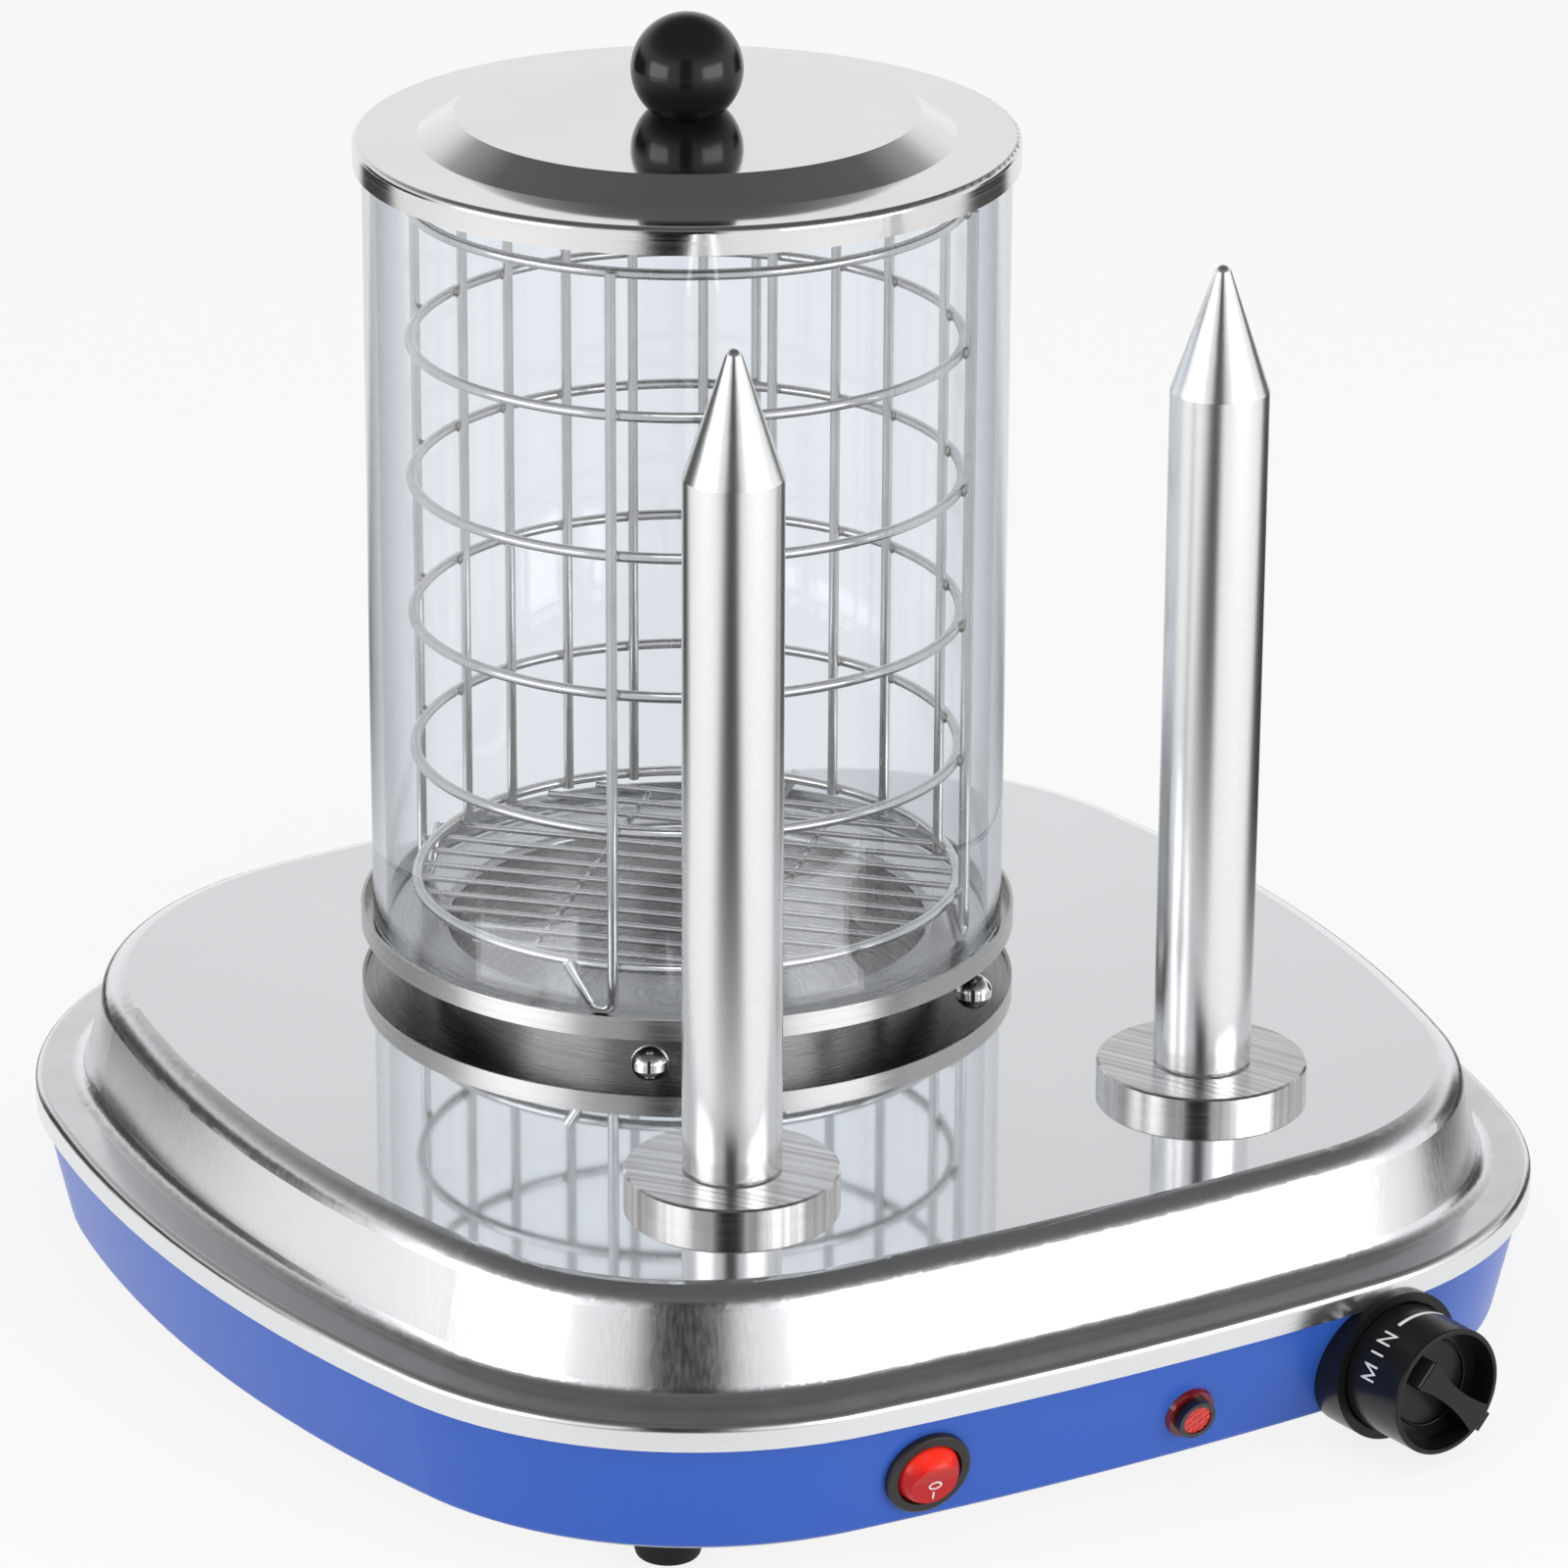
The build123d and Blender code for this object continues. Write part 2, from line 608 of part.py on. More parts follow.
# Each leg runs down outside the rings, turns in a hairpin on the tray and rises to the bottom ring.
leg_r = RING_R + 2 * WIRE_R - WELD
chord_turn = degrees(asin(HAIRPIN_W / 2 / leg_r))
leg_frame = Plane(
    origin=(leg_r, 0, 0),
    x_dir=(-sin(radians(chord_turn)), -cos(radians(chord_turn)), 0),
    z_dir=(-cos(radians(chord_turn)), sin(radians(chord_turn)), 0),
)
with BuildPart() as leg:
    with BuildLine(leg_frame) as leg_path:
        FilletPolyline(
            (0, TOP_RING_Z + 0.8),
            (0, TRAY_FLOOR_Z + WIRE_R),
            (HAIRPIN_FOOT, TRAY_FLOOR_Z + WIRE_R),
            (HAIRPIN_W, BOTTOM_RING_Z + 0.8),
            radius=HAIRPIN_R,
        )
    with BuildSketch(Plane(origin=leg_path.line @ 0, z_dir=leg_path.line % 0)):
        Circle(WIRE_R)
    sweep(path=leg_path.line)

with BuildPart() as basket_legs:
    with Locations((0, AXIS_Y)):
        with PolarLocations(0, 4, start_angle=LEG_START - 90):
            add(leg.part)
basket_legs.part.label = "basket_legs"
export_step(basket_legs.part, "parts/basket_legs.step")

# Basket floor: parallel wires across the bottom ring with two bearers under them.
floor_turn = LEG_START - 90
with BuildPart() as basket_floor:
    floor_z = BOTTOM_RING_Z - WIRE_R - FLOOR_WIRE_R
    for row in range(-FLOOR_ROWS, FLOOR_ROWS + 1):
        offset_y = row * FLOOR_PITCH
        half = sqrt((RING_R - 0.5) ** 2 - offset_y**2)
        with Locations(Location((0, AXIS_Y, floor_z), (0, 0, floor_turn))):
            with Locations(Location((0, offset_y, 0), (0, 90, 0))):
                Cylinder(FLOOR_WIRE_R, 2 * half)
    for offset_x in (-30, 30):
        half = FLOOR_ROWS * FLOOR_PITCH + 3
        with Locations(Location((0, AXIS_Y, floor_z - 2 * FLOOR_WIRE_R + 0.2), (0, 0, floor_turn))):
            with Locations(Location((offset_x, 0, 0), (90, 0, 0))):
                Cylinder(FLOOR_WIRE_R, 2 * half)
basket_floor.part.label = "basket_floor"
export_step(basket_floor.part, "parts/basket_floor.step")

# Spikes: turned aluminium with a cone tip, a spigot below and a bore for the heater.
for side, spot in zip(("left", "right"), spike_spots):
    x, y = spot
    spike_plane = Plane(origin=(x, y, 0), x_dir=(1, 0, 0), z_dir=(0, -1, 0))
    spike_axis = Axis((x, y, 0), (0, 0, 1))
    with BuildPart() as spike:
        with BuildSketch(spike_plane):
            with BuildLine():
                Polyline(
                    (0, SPIKE_TIP_Z),
                    (0, SPIGOT_Z),
                    (SPIGOT_R, SPIGOT_Z),
                    (SPIGOT_R, PLATEAU_Z + DISC_H),
                    (SPIKE_R - 0.8, PLATEAU_Z + DISC_H),
                    (SPIKE_R, PLATEAU_Z + DISC_H + 0.8),
                    (SPIKE_R, SPIKE_SHOULDER_Z),
                    (SPIKE_TIP_R, SPIKE_TIP_Z - 1.6),
                )
                TangentArc((0, SPIKE_TIP_Z), (SPIKE_TIP_R, SPIKE_TIP_Z - 1.6), tangent=(1, 0))
            make_face()
        revolve(axis=spike_axis)
        with BuildSketch(Plane.XY.offset(SPIGOT_Z)):
            with Locations((x, y)):
                Circle(HEATER_ROD_R + 0.1)
        extrude(amount=HEATER_ROD_L, mode=Mode.SUBTRACT)
    spike.part.label = f"spike_{side}"
    export_step(spike.part, f"parts/spike_{side}.step")
    with BuildPart() as spike_disc:
        with BuildSketch(Plane.XY.offset(PLATEAU_Z)):
            with Locations((x, y)):
                Circle(DISC_R)
                Circle(SPIGOT_R + 0.2, mode=Mode.SUBTRACT)
        extrude(amount=DISC_H)
        chamfer(spike_disc.edges().filter_by(GeomType.CIRCLE).sort_by(SortBy.RADIUS)[-1], 0.6)
    spike_disc.part.label = f"spike_disc_{side}"
    export_step(spike_disc.part, f"parts/spike_disc_{side}.step")
    with BuildPart() as spike_nut:
        with BuildSketch(Plane.XY.offset(PLATEAU_Z - SHEET - 8)):
            with Locations((x, y)):
                RegularPolygon(12, 6, major_radius=False)
                Circle(SPIGOT_R + 0.05, mode=Mode.SUBTRACT)
        extrude(amount=8)
    spike_nut.part.label = f"spike_nut_{side}"
    export_step(spike_nut.part, f"parts/spike_nut_{side}.step")
    with BuildPart() as spike_heater:
        with BuildSketch(Plane.XY.offset(SPIGOT_Z - 6)):
            with Locations((x, y)):
                Circle(HEATER_ROD_R)
        extrude(amount=HEATER_ROD_L)
        chamfer(spike_heater.faces().sort_by(Axis.Z)[-1].edges(), 0.8)
    spike_heater.part.label = f"spike_heater_{side}"
    export_step(spike_heater.part, f"parts/spike_heater_{side}.step")

# Round rocker switch: bezel and barrel, rocker on two side pins, and blade terminals.
pivot_plane = switch_plane.offset(-1.0)
pin_plane = Plane(origin=pivot_plane.origin, x_dir=pivot_plane.y_dir, z_dir=pivot_plane.x_dir)
with BuildPart() as switch_housing:
    with BuildSketch(switch_plane.offset(0.1)):
        Circle(SWITCH_BEZEL_R)
    extrude(amount=2.2)
    fillet(switch_housing.faces().sort_by_distance(switch_plane.offset(20).origin)[0].edges(), 0.8)
    with BuildSketch(switch_plane.offset(-14)):
        Circle(SWITCH_HOLE_R - 0.2)
    extrude(amount=14.2)
    with BuildSketch(switch_plane.offset(-11)):
        Circle(ROCKER_R + 0.3)
    extrude(amount=16, mode=Mode.SUBTRACT)
    with BuildSketch(pin_plane):
        Circle(ROCKER_PIN_R + 0.05)
    extrude(amount=ROCKER_R + 1.1, both=True, mode=Mode.SUBTRACT)
switch_housing.part.label = "switch_housing"
export_step(switch_housing.part, "parts/switch_housing.step")

with BuildPart() as switch_rocker:
    with Locations(pivot_plane):
        Sphere(ROCKER_R)
    split(bisect_by=pivot_plane.offset(-6.5), keep=Keep.TOP)
    for half in (1, -1):
        lean = Axis((0, 0, 0), pivot_plane.x_dir)
        valley = Plane(
            origin=pivot_plane.offset(ROCKER_FACE).origin,
            x_dir=pivot_plane.x_dir,
            z_dir=pivot_plane.z_dir.rotate(lean, ROCKER_TILT + half * ROCKER_VEE),
        )
        with BuildSketch(valley):
            with Locations((0, half * 12.5)):
                Rectangle(30, 25)
        extrude(amount=15, mode=Mode.SUBTRACT)
    with BuildSketch(pin_plane):
        Circle(ROCKER_PIN_R)
    extrude(amount=ROCKER_R + 1.0, both=True)
switch_rocker.part.label = "switch_rocker"
export_step(switch_rocker.part, "parts/switch_rocker.step")

with BuildPart() as switch_terminals:
    with BuildSketch(switch_plane.offset(-14)):
        Circle(9)
    extrude(amount=-1)
    with BuildSketch(switch_plane.offset(-15)):
        with Locations((0, -6), (0, 0), (0, 6)):
            Rectangle(6.3, 0.8)
    extrude(amount=-8)
switch_terminals.part.label = "switch_terminals"
export_step(switch_terminals.part, "parts/switch_terminals.step")

# Indicator lamp: bezel ring, faceted lens, barrel and a push-on nut behind the wall.
with BuildPart() as lamp_bezel:
    with BuildSketch(lamp_plane.offset(0.05)):
        Circle(LAMP_R)
    extrude(amount=1.5, taper=20)
    with BuildSketch(lamp_plane.offset(1.0)):
        Circle(LAMP_RING_R)
    extrude(amount=3.6)
    with BuildSketch(lamp_plane.offset(-20)):
        Circle(LAMP_HOLE_R - 0.2)
    extrude(amount=20.2)
    with BuildSketch(lamp_plane.offset(2.6)):
        Circle(LAMP_LENS_R + 0.1)
    extrude(amount=6, mode=Mode.SUBTRACT)
lamp_bezel.part.label = "lamp_bezel"
export_step(lamp_bezel.part, "parts/lamp_bezel.step")

with BuildPart() as lamp_lens:
    with BuildSketch(lamp_plane.offset(2.6)):
        Circle(LAMP_LENS_R)
    extrude(amount=1.6)
    for turn in (30, 150):
        with BuildSketch(lamp_plane.offset(4.0)):
            with Locations(Location((0, 0), turn)):
                with GridLocations(0, 2.0, 1, 4):
                    Rectangle(12, 0.5)
        extrude(amount=1, mode=Mode.SUBTRACT)
lamp_lens.part.label = "lamp_lens"
export_step(lamp_lens.part, "parts/lamp_lens.step")

with BuildPart() as lamp_nut:
    with BuildSketch(lamp_plane.offset(-4.6)):
        Circle(8.5)
        Circle(LAMP_HOLE_R - 0.1, mode=Mode.SUBTRACT)
    extrude(amount=3.2)
lamp_nut.part.label = "lamp_nut"
export_step(lamp_nut.part, "parts/lamp_nut.step")

# Thermostat behind the wall, its neck clamped by a nut in the collar.
with BuildPart() as thermostat_body:
    with BuildSketch(knob_plane.offset(-8)):
        RectangleRounded(38, 26, 3)
    extrude(amount=-22)
    with BuildSketch(knob_plane.offset(-8)):
        Circle(NECK_R)
    extrude(amount=8 + COLLAR_WEB)
    with BuildSketch(knob_plane.offset(-16)):
        Circle(SHAFT_R + 0.08)
    extrude(amount=30, mode=Mode.SUBTRACT)
    with BuildSketch(knob_plane.offset(-30)):
        with Locations((-8, 0), (8, 0)):
            Rectangle(0.8, 6.3)
    extrude(amount=-8)
thermostat_body.part.label = "thermostat_body"
export_step(thermostat_body.part, "parts/thermostat_body.step")

with BuildPart() as thermostat_nut:
    with BuildSketch(knob_plane.offset(COLLAR_WEB - 3)):
        RegularPolygon(7.0, 6, major_radius=False)
        Circle(NECK_R + 0.05, mode=Mode.SUBTRACT)
    extrude(amount=3)
thermostat_nut.part.label = "thermostat_nut"
export_step(thermostat_nut.part, "parts/thermostat_nut.step")

with BuildPart() as thermostat_shaft:
    with BuildSketch(knob_plane.offset(-15.5)):
        Circle(SHAFT_R)
    extrude(amount=15.5 + 18)
thermostat_shaft.part.label = "thermostat_shaft"
export_step(thermostat_shaft.part, "parts/thermostat_shaft.step")

# Collar moulded to the leaning wall and notched for the lip above it.
with BuildPart() as knob_collar:
    with BuildSketch(knob_plane.offset(-7)):
        Circle(COLLAR_R)
    extrude(amount=7 + COLLAR_L)
    with BuildSketch(knob_plane.offset(COLLAR_WEB)):
        Circle(KNOB_R + 0.6)
    extrude(amount=10, mode=Mode.SUBTRACT)
    with BuildSketch(knob_plane.offset(COLLAR_WEB - 3)):
        Circle(8.4)
    extrude(amount=10, mode=Mode.SUBTRACT)
    with BuildSketch(knob_plane.offset(-8)):
        Circle(NECK_R + 0.1)
    extrude(amount=20, mode=Mode.SUBTRACT)
    add(wall_outside, mode=Mode.SUBTRACT)
    add(cover_outside, mode=Mode.SUBTRACT)
    with BuildSketch():
        add(plan(WALL_FOOT))
    extrude(amount=SHELL_Z + 1, mode=Mode.SUBTRACT)
knob_collar.part.label = "knob_collar"
export_step(knob_collar.part, "parts/knob_collar.step")

# Knob: a barrel whose hollow end holds a waisted grip bar, run out through the rim as a pointer.
bar_plane = Plane(
    origin=knob_plane.offset(KNOB_L).origin,
    x_dir=knob_plane.x_dir.rotate(Axis((0, 0, 0), knob_plane.z_dir), KNOB_BAR_TURN),
    z_dir=knob_plane.z_dir,
)
with BuildPart() as thermostat_knob:
    with BuildSketch(knob_plane.offset(COLLAR_WEB + 0.4)):
        Circle(KNOB_R)
    extrude(amount=KNOB_L - COLLAR_WEB - 0.4)
    end_face = thermostat_knob.faces().sort_by_distance(knob_plane.offset(90).origin)[0]
    fillet(end_face.edges(), 0.6)
    with BuildSketch(bar_plane):
        Circle(POCKET_R)
        with BuildLine():
            ThreePointArc((-10.2, 4.5), (4.0, 2.7), (19.0, 5.2))
            Line((19.0, 5.2), (19.0, -5.2))
            ThreePointArc((19.0, -5.2), (4.0, -2.7), (-10.2, -4.5))
            Line((-10.2, -4.5), (-10.2, 4.5))
        make_face(mode=Mode.SUBTRACT)
    extrude(amount=-POCKET_DEPTH, mode=Mode.SUBTRACT)
    with BuildSketch(bar_plane.offset(-0.4)):
        with Locations((KNOB_R, 0)):
            Rectangle(2.6, LUG_W)
    extrude(amount=-POCKET_DEPTH)
    with BuildSketch(knob_plane.offset(COLLAR_WEB)):
        Circle(SHAFT_R + 0.02)
    extrude(amount=14.5, mode=Mode.SUBTRACT)
thermostat_knob.part.label = "thermostat_knob"
export_step(thermostat_knob.part, "parts/thermostat_knob.step")

# Cable entry at the back: gland, its inner nut and the terminal block.
with BuildPart() as cable_gland:
    with BuildSketch(gland_plane.offset(0.1)):
        RegularPolygon(9.5, 6, major_radius=False)
    extrude(amount=3)
    with BuildSketch(gland_plane.offset(3.1)):
        Circle(8.5)
    extrude(amount=5.5, taper=12)
    with BuildSketch(gland_plane.offset(-9)):
        Circle(GLAND_R)
    extrude(amount=9.2)
    with BuildSketch(gland_plane.offset(-9)):
        Circle(3.8)
    extrude(amount=20, mode=Mode.SUBTRACT)
cable_gland.part.label = "cable_gland"
export_step(cable_gland.part, "parts/cable_gland.step")

with BuildPart() as gland_nut:
    with BuildSketch(gland_plane.offset(-WALL_T - 0.3)):
        RegularPolygon(10.5, 6, major_radius=False)
        Circle(GLAND_R + 0.05, mode=Mode.SUBTRACT)
    extrude(amount=-4)
gland_nut.part.label = "gland_nut"
export_step(gland_nut.part, "parts/gland_nut.step")

with BuildPart() as terminal_block:
    with BuildSketch(Plane.XY.offset(SHELL_Z)):
        with Locations((GLAND_X, REAR_Y - 45)):
            Rectangle(36, 18)
    extrude(amount=14)
    with BuildSketch(Plane.XY.offset(SHELL_Z + 14)):
        with Locations((GLAND_X, REAR_Y - 45)):
            with GridLocations(12, 9, 3, 2):
                Circle(2.6)
    extrude(amount=-6, mode=Mode.SUBTRACT)
    with BuildSketch(Plane.XZ.offset(-(REAR_Y - 36))):
        with Locations((GLAND_X, SHELL_Z + 5)):
            with GridLocations(12, 0, 3, 1):
                Circle(1.9)
    extrude(amount=18, mode=Mode.SUBTRACT)
terminal_block.part.label = "terminal_block"
export_step(terminal_block.part, "parts/terminal_block.step")
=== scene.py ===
# %% [markdown]
# # A two-spike hot dog machine
# This lesson dresses a finished mechanical model: a blue enamelled base under a mirror polished
# cover, two heated aluminium spikes, and a glass cylinder with a wire basket and a lid.
# The shapes come from the engineering model, so the work here is finish, light and small detail.
# Everything is in metres, with Z up and the controls towards -Y.

# %% Load the model
import json
import math

import bmesh
import bpy
from mathutils import Matrix, Vector


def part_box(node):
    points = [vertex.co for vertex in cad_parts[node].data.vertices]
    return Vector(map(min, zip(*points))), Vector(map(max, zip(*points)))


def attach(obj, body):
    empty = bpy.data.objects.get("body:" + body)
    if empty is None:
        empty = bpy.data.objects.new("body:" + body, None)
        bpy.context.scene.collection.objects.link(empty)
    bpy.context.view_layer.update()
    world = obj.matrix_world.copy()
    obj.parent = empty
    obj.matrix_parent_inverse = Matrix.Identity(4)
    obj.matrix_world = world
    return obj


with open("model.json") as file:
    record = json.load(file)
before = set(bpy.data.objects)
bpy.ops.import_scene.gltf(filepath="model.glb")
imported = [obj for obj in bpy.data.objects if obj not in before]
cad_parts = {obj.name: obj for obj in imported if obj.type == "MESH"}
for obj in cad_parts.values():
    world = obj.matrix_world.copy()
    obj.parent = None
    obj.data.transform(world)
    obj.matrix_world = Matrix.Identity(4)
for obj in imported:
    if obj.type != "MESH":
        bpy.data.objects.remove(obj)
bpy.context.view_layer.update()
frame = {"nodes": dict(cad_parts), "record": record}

nodes = frame["nodes"]
print("nodes:", len(nodes))

# %% [markdown]
# ## The camera
# The photograph was taken with a long lens, slightly above the machine and to the left of its
# front. The place and the lens were worked out from the outline of the base, the rings of the
# basket and the two spikes. The small sideways shift keeps the upright lines upright.

# %% Camera
lens_mm = 167.6
sensor_mm = 36.0
sideways_shift = 0.0617
camera_spot = Vector((-1.0056, -1.7236, 0.9209))
looking = Vector((0.4577, 0.8134, -0.3589))

camera_data = bpy.data.cameras.new("camera")
camera_data.lens = lens_mm
camera_data.sensor_width = sensor_mm
camera_data.sensor_height = sensor_mm
camera_data.sensor_fit = "HORIZONTAL"
camera_data.shift_x = sideways_shift
camera = bpy.data.objects.new("camera", camera_data)
bpy.context.scene.collection.objects.link(camera)
camera.location = camera_spot
camera.rotation_euler = looking.to_track_quat("-Z", "Y").to_euler()
bpy.context.scene.camera = camera
print("camera distance:", round(camera_spot.length, 3), "m")

# %% [markdown]
# ## The room
# Polished steel has no colour of its own: it shows the room. A white room with a dark ceiling
# gives the lid its dark bevel and the cover its dark edge lines. Only mirrors see that ceiling.
# The camera and clear glass see plain white, and matt surfaces are lit by a dimmer white.

# %% World
def link_node(tree, kind, **settings):
    """A new node with some of its settings changed."""
    node = tree.nodes.new(kind)
    for key, value in settings.items():
        setattr(node, key, value)
    return node


# Each step is a height in the sky, from 0 at the horizon to 1 overhead, and its grey.
room_light = 0.60
ceiling_steps = [(0.0, 1.0), (0.30, 0.92), (0.40, 0.80), (0.52, 0.40), (0.72, 0.13), (1.0, 0.10)]

world = bpy.data.worlds.new("pale_room")
world.use_nodes = True
bpy.context.scene.world = world
sky = world.node_tree
sky.nodes.clear()
sky_out = link_node(sky, "ShaderNodeOutputWorld")
paths = link_node(sky, "ShaderNodeLightPath")
direction = link_node(sky, "ShaderNodeTexCoord")
height = link_node(sky, "ShaderNodeSeparateXYZ")
gradient = link_node(sky, "ShaderNodeValToRGB")
ramp = gradient.color_ramp
while len(ramp.elements) < len(ceiling_steps):
    ramp.elements.new(0.5)
for element, (place, grey) in zip(ramp.elements, ceiling_steps):
    element.position = place
    element.color = (grey, grey, grey * 1.01, 1)
white_room = link_node(sky, "ShaderNodeBackground")
grey_room = link_node(sky, "ShaderNodeBackground")
fill = link_node(sky, "ShaderNodeBackground")
fill.inputs["Color"].default_value = (1, 1, 1, 1)
fill.inputs["Strength"].default_value = room_light
white_room.inputs["Color"].default_value = (1, 1, 1, 1)
clear_ray = link_node(sky, "ShaderNodeMath", operation="MAXIMUM")
pick_glossy = link_node(sky, "ShaderNodeMixShader")
pick_clear = link_node(sky, "ShaderNodeMixShader")
sky.links.new(direction.outputs["Generated"], height.inputs[0])
sky.links.new(height.outputs["Z"], gradient.inputs[0])
sky.links.new(gradient.outputs["Color"], grey_room.inputs["Color"])
sky.links.new(paths.outputs["Is Camera Ray"], clear_ray.inputs[0])
sky.links.new(paths.outputs["Is Transmission Ray"], clear_ray.inputs[1])
sky.links.new(paths.outputs["Is Glossy Ray"], pick_glossy.inputs[0])
sky.links.new(fill.outputs[0], pick_glossy.inputs[1])
sky.links.new(grey_room.outputs[0], pick_glossy.inputs[2])
sky.links.new(clear_ray.outputs[0], pick_clear.inputs[0])
sky.links.new(pick_glossy.outputs[0], pick_clear.inputs[1])
sky.links.new(white_room.outputs[0], pick_clear.inputs[2])
sky.links.new(pick_clear.outputs[0], sky_out.inputs["Surface"])
print("room greys:", [grey for place, grey in ceiling_steps])


# %% [markdown]
# The floor is pale and matt. For the camera and for mirrors most of it glows at exactly white, so
# it melts into the room, and the matt part that is left keeps a faint shadow under the machine.

# %% Floor
def rectangle(name, centre, facing, width, height, material):
    """A flat rectangle that faces a point, kept out of the object."""
    mesh = bpy.data.meshes.new(name)
    corners = [(-width / 2, -height / 2, 0), (width / 2, -height / 2, 0),
               (width / 2, height / 2, 0), (-width / 2, height / 2, 0)]
    mesh.from_pydata(corners, [], [(0, 1, 2, 3)])
    mesh.materials.append(material)
    obj = bpy.data.objects.new(name, mesh)
    bpy.context.scene.collection.objects.link(obj)
    obj.location = centre
    obj.rotation_euler = (Vector(facing) - Vector(centre)).to_track_quat("Z", "Y").to_euler()
    return obj


floor_white = 0.84
floor_size = 60
floor_height = -0.0002

pale_floor = bpy.data.materials.new("pale_floor")
pale_floor.use_nodes = True
floor_tree = pale_floor.node_tree
floor_shader = floor_tree.nodes["Principled BSDF"]
floor_shader.inputs["Base Color"].default_value = (0.86, 0.86, 0.86, 1)
floor_shader.inputs["Roughness"].default_value = 0.9
floor_shader.inputs["Specular IOR Level"].default_value = 0.0
floor_glow = link_node(floor_tree, "ShaderNodeEmission")
floor_paths = link_node(floor_tree, "ShaderNodeLightPath")
floor_seen = link_node(floor_tree, "ShaderNodeMath", operation="MAXIMUM")
floor_clear = link_node(floor_tree, "ShaderNodeMath", operation="MAXIMUM")
floor_share = link_node(floor_tree, "ShaderNodeMath", operation="MULTIPLY")
floor_share.inputs[1].default_value = floor_white
floor_mix = link_node(floor_tree, "ShaderNodeMixShader")
floor_tree.links.new(floor_paths.outputs["Is Camera Ray"], floor_seen.inputs[0])
floor_tree.links.new(floor_paths.outputs["Is Glossy Ray"], floor_seen.inputs[1])
floor_tree.links.new(floor_seen.outputs[0], floor_clear.inputs[0])
floor_tree.links.new(floor_paths.outputs["Is Transmission Ray"], floor_clear.inputs[1])
floor_tree.links.new(floor_clear.outputs[0], floor_share.inputs[0])
floor_tree.links.new(floor_share.outputs[0], floor_mix.inputs[0])
floor_tree.links.new(floor_shader.outputs[0], floor_mix.inputs[1])
floor_tree.links.new(floor_glow.outputs[0], floor_mix.inputs[2])
floor_tree.links.new(floor_mix.outputs[0], floor_tree.nodes["Material Output"].inputs["Surface"])
rectangle("floor", (0, 0, floor_height), (0, 0, 1), floor_size, floor_size, pale_floor)
print("floor shows white for", floor_white, "of its light")

# %% [markdown]
# ## Dark cloths
# A product photographer hangs black and grey cloth round a shiny thing, so that its curves show.
# These cloths are seen only in reflections, and their edges fade out so that no hard line shows.
# Each is placed by its angle from the camera, seen from above, and its distance.

# %% Cloth material and places
toward_camera = Vector((-0.4904, -0.8715, 0))
to_the_right = Vector((0.8715, -0.4904, 0))
soft_edge = 0.22


def around(angle, distance, height):
    """A spot at an angle from the camera's side of the machine, positive to the right."""
    turn = math.radians(angle)
    spot = (toward_camera * math.cos(turn) + to_the_right * math.sin(turn)) * distance
    return Vector((spot.x, spot.y, height))


def cloth(name, grey):
    """A grey that fades out towards the edges of its rectangle."""
    material = bpy.data.materials.new(name)
    material.use_nodes = True
    tree = material.node_tree
    tree.nodes.remove(tree.nodes["Principled BSDF"])
    place = link_node(tree, "ShaderNodeTexCoord")
    split = link_node(tree, "ShaderNodeSeparateXYZ")
    tree.links.new(place.outputs["Generated"], split.inputs[0])
    fades = []
    for axis in ("X", "Y"):
        away = link_node(tree, "ShaderNodeMath", operation="PINGPONG")
        away.inputs[1].default_value = 0.5
        fade = link_node(tree, "ShaderNodeMapRange", interpolation_type="SMOOTHSTEP")
        fade.inputs["From Max"].default_value = soft_edge
        tree.links.new(split.outputs[axis], away.inputs[0])
        tree.links.new(away.outputs[0], fade.inputs["Value"])
        fades.append(fade)
    both = link_node(tree, "ShaderNodeMath", operation="MULTIPLY")
    glow = link_node(tree, "ShaderNodeEmission")
    glow.inputs["Color"].default_value = (grey, grey, grey, 1)
    clear = link_node(tree, "ShaderNodeBsdfTransparent")
    mix = link_node(tree, "ShaderNodeMixShader")
    tree.links.new(fades[0].outputs["Result"], both.inputs[0])
    tree.links.new(fades[1].outputs["Result"], both.inputs[1])
    tree.links.new(both.outputs[0], mix.inputs[0])
    tree.links.new(clear.outputs[0], mix.inputs[1])
    tree.links.new(glow.outputs[0], mix.inputs[2])
    tree.links.new(mix.outputs[0], tree.nodes["Material Output"].inputs["Surface"])
    return material


def hide_from_view(obj):
    """Leaves a rectangle in reflections alone."""
    obj.visible_camera = False
    obj.visible_shadow = False
    obj.visible_diffuse = False
    obj.visible_transmission = False


# %% Hang the cloths
# Standing: name, centre, width, height, grey.
standing_cloths = [
    ("cloth_front", around(-3, 1.7, 0.65), 1.05, 2.1, 0.02),
    ("cloth_back_left", around(-116, 1.6, 0.15), 1.6, 1.2, 0.05),
    ("cloth_right", around(128, 1.6, 0.10), 1.0, 1.1, 0.05),
]
# Lying on the floor: name, centre, width, depth, grey, angle from the camera's side.
lying_cloths = [
    ("strip_front", around(-5, 1.02, 0.0006), 0.60, 1.5, 0.0, 0),
    ("strip_left", around(-132, 0.92, 0.0004), 0.74, 1.3, 0.03, -132),
    ("strip_right", around(126, 0.85, 0.0005), 0.80, 1.3, 0.03, 126),
]
for name, centre, width, tall, grey in standing_cloths:
    hide_from_view(rectangle(name, centre, (0, 0, centre.z), width, tall, cloth(name, grey)))
camera_side = math.atan2(toward_camera.y, toward_camera.x)
for name, centre, width, deep, grey, angle in lying_cloths:
    strip = rectangle(name, centre, centre + Vector((0, 0, 1)), width, deep, cloth(name, grey))
    strip.rotation_euler = (0, 0, camera_side + math.radians(angle) + math.pi / 2)
    hide_from_view(strip)
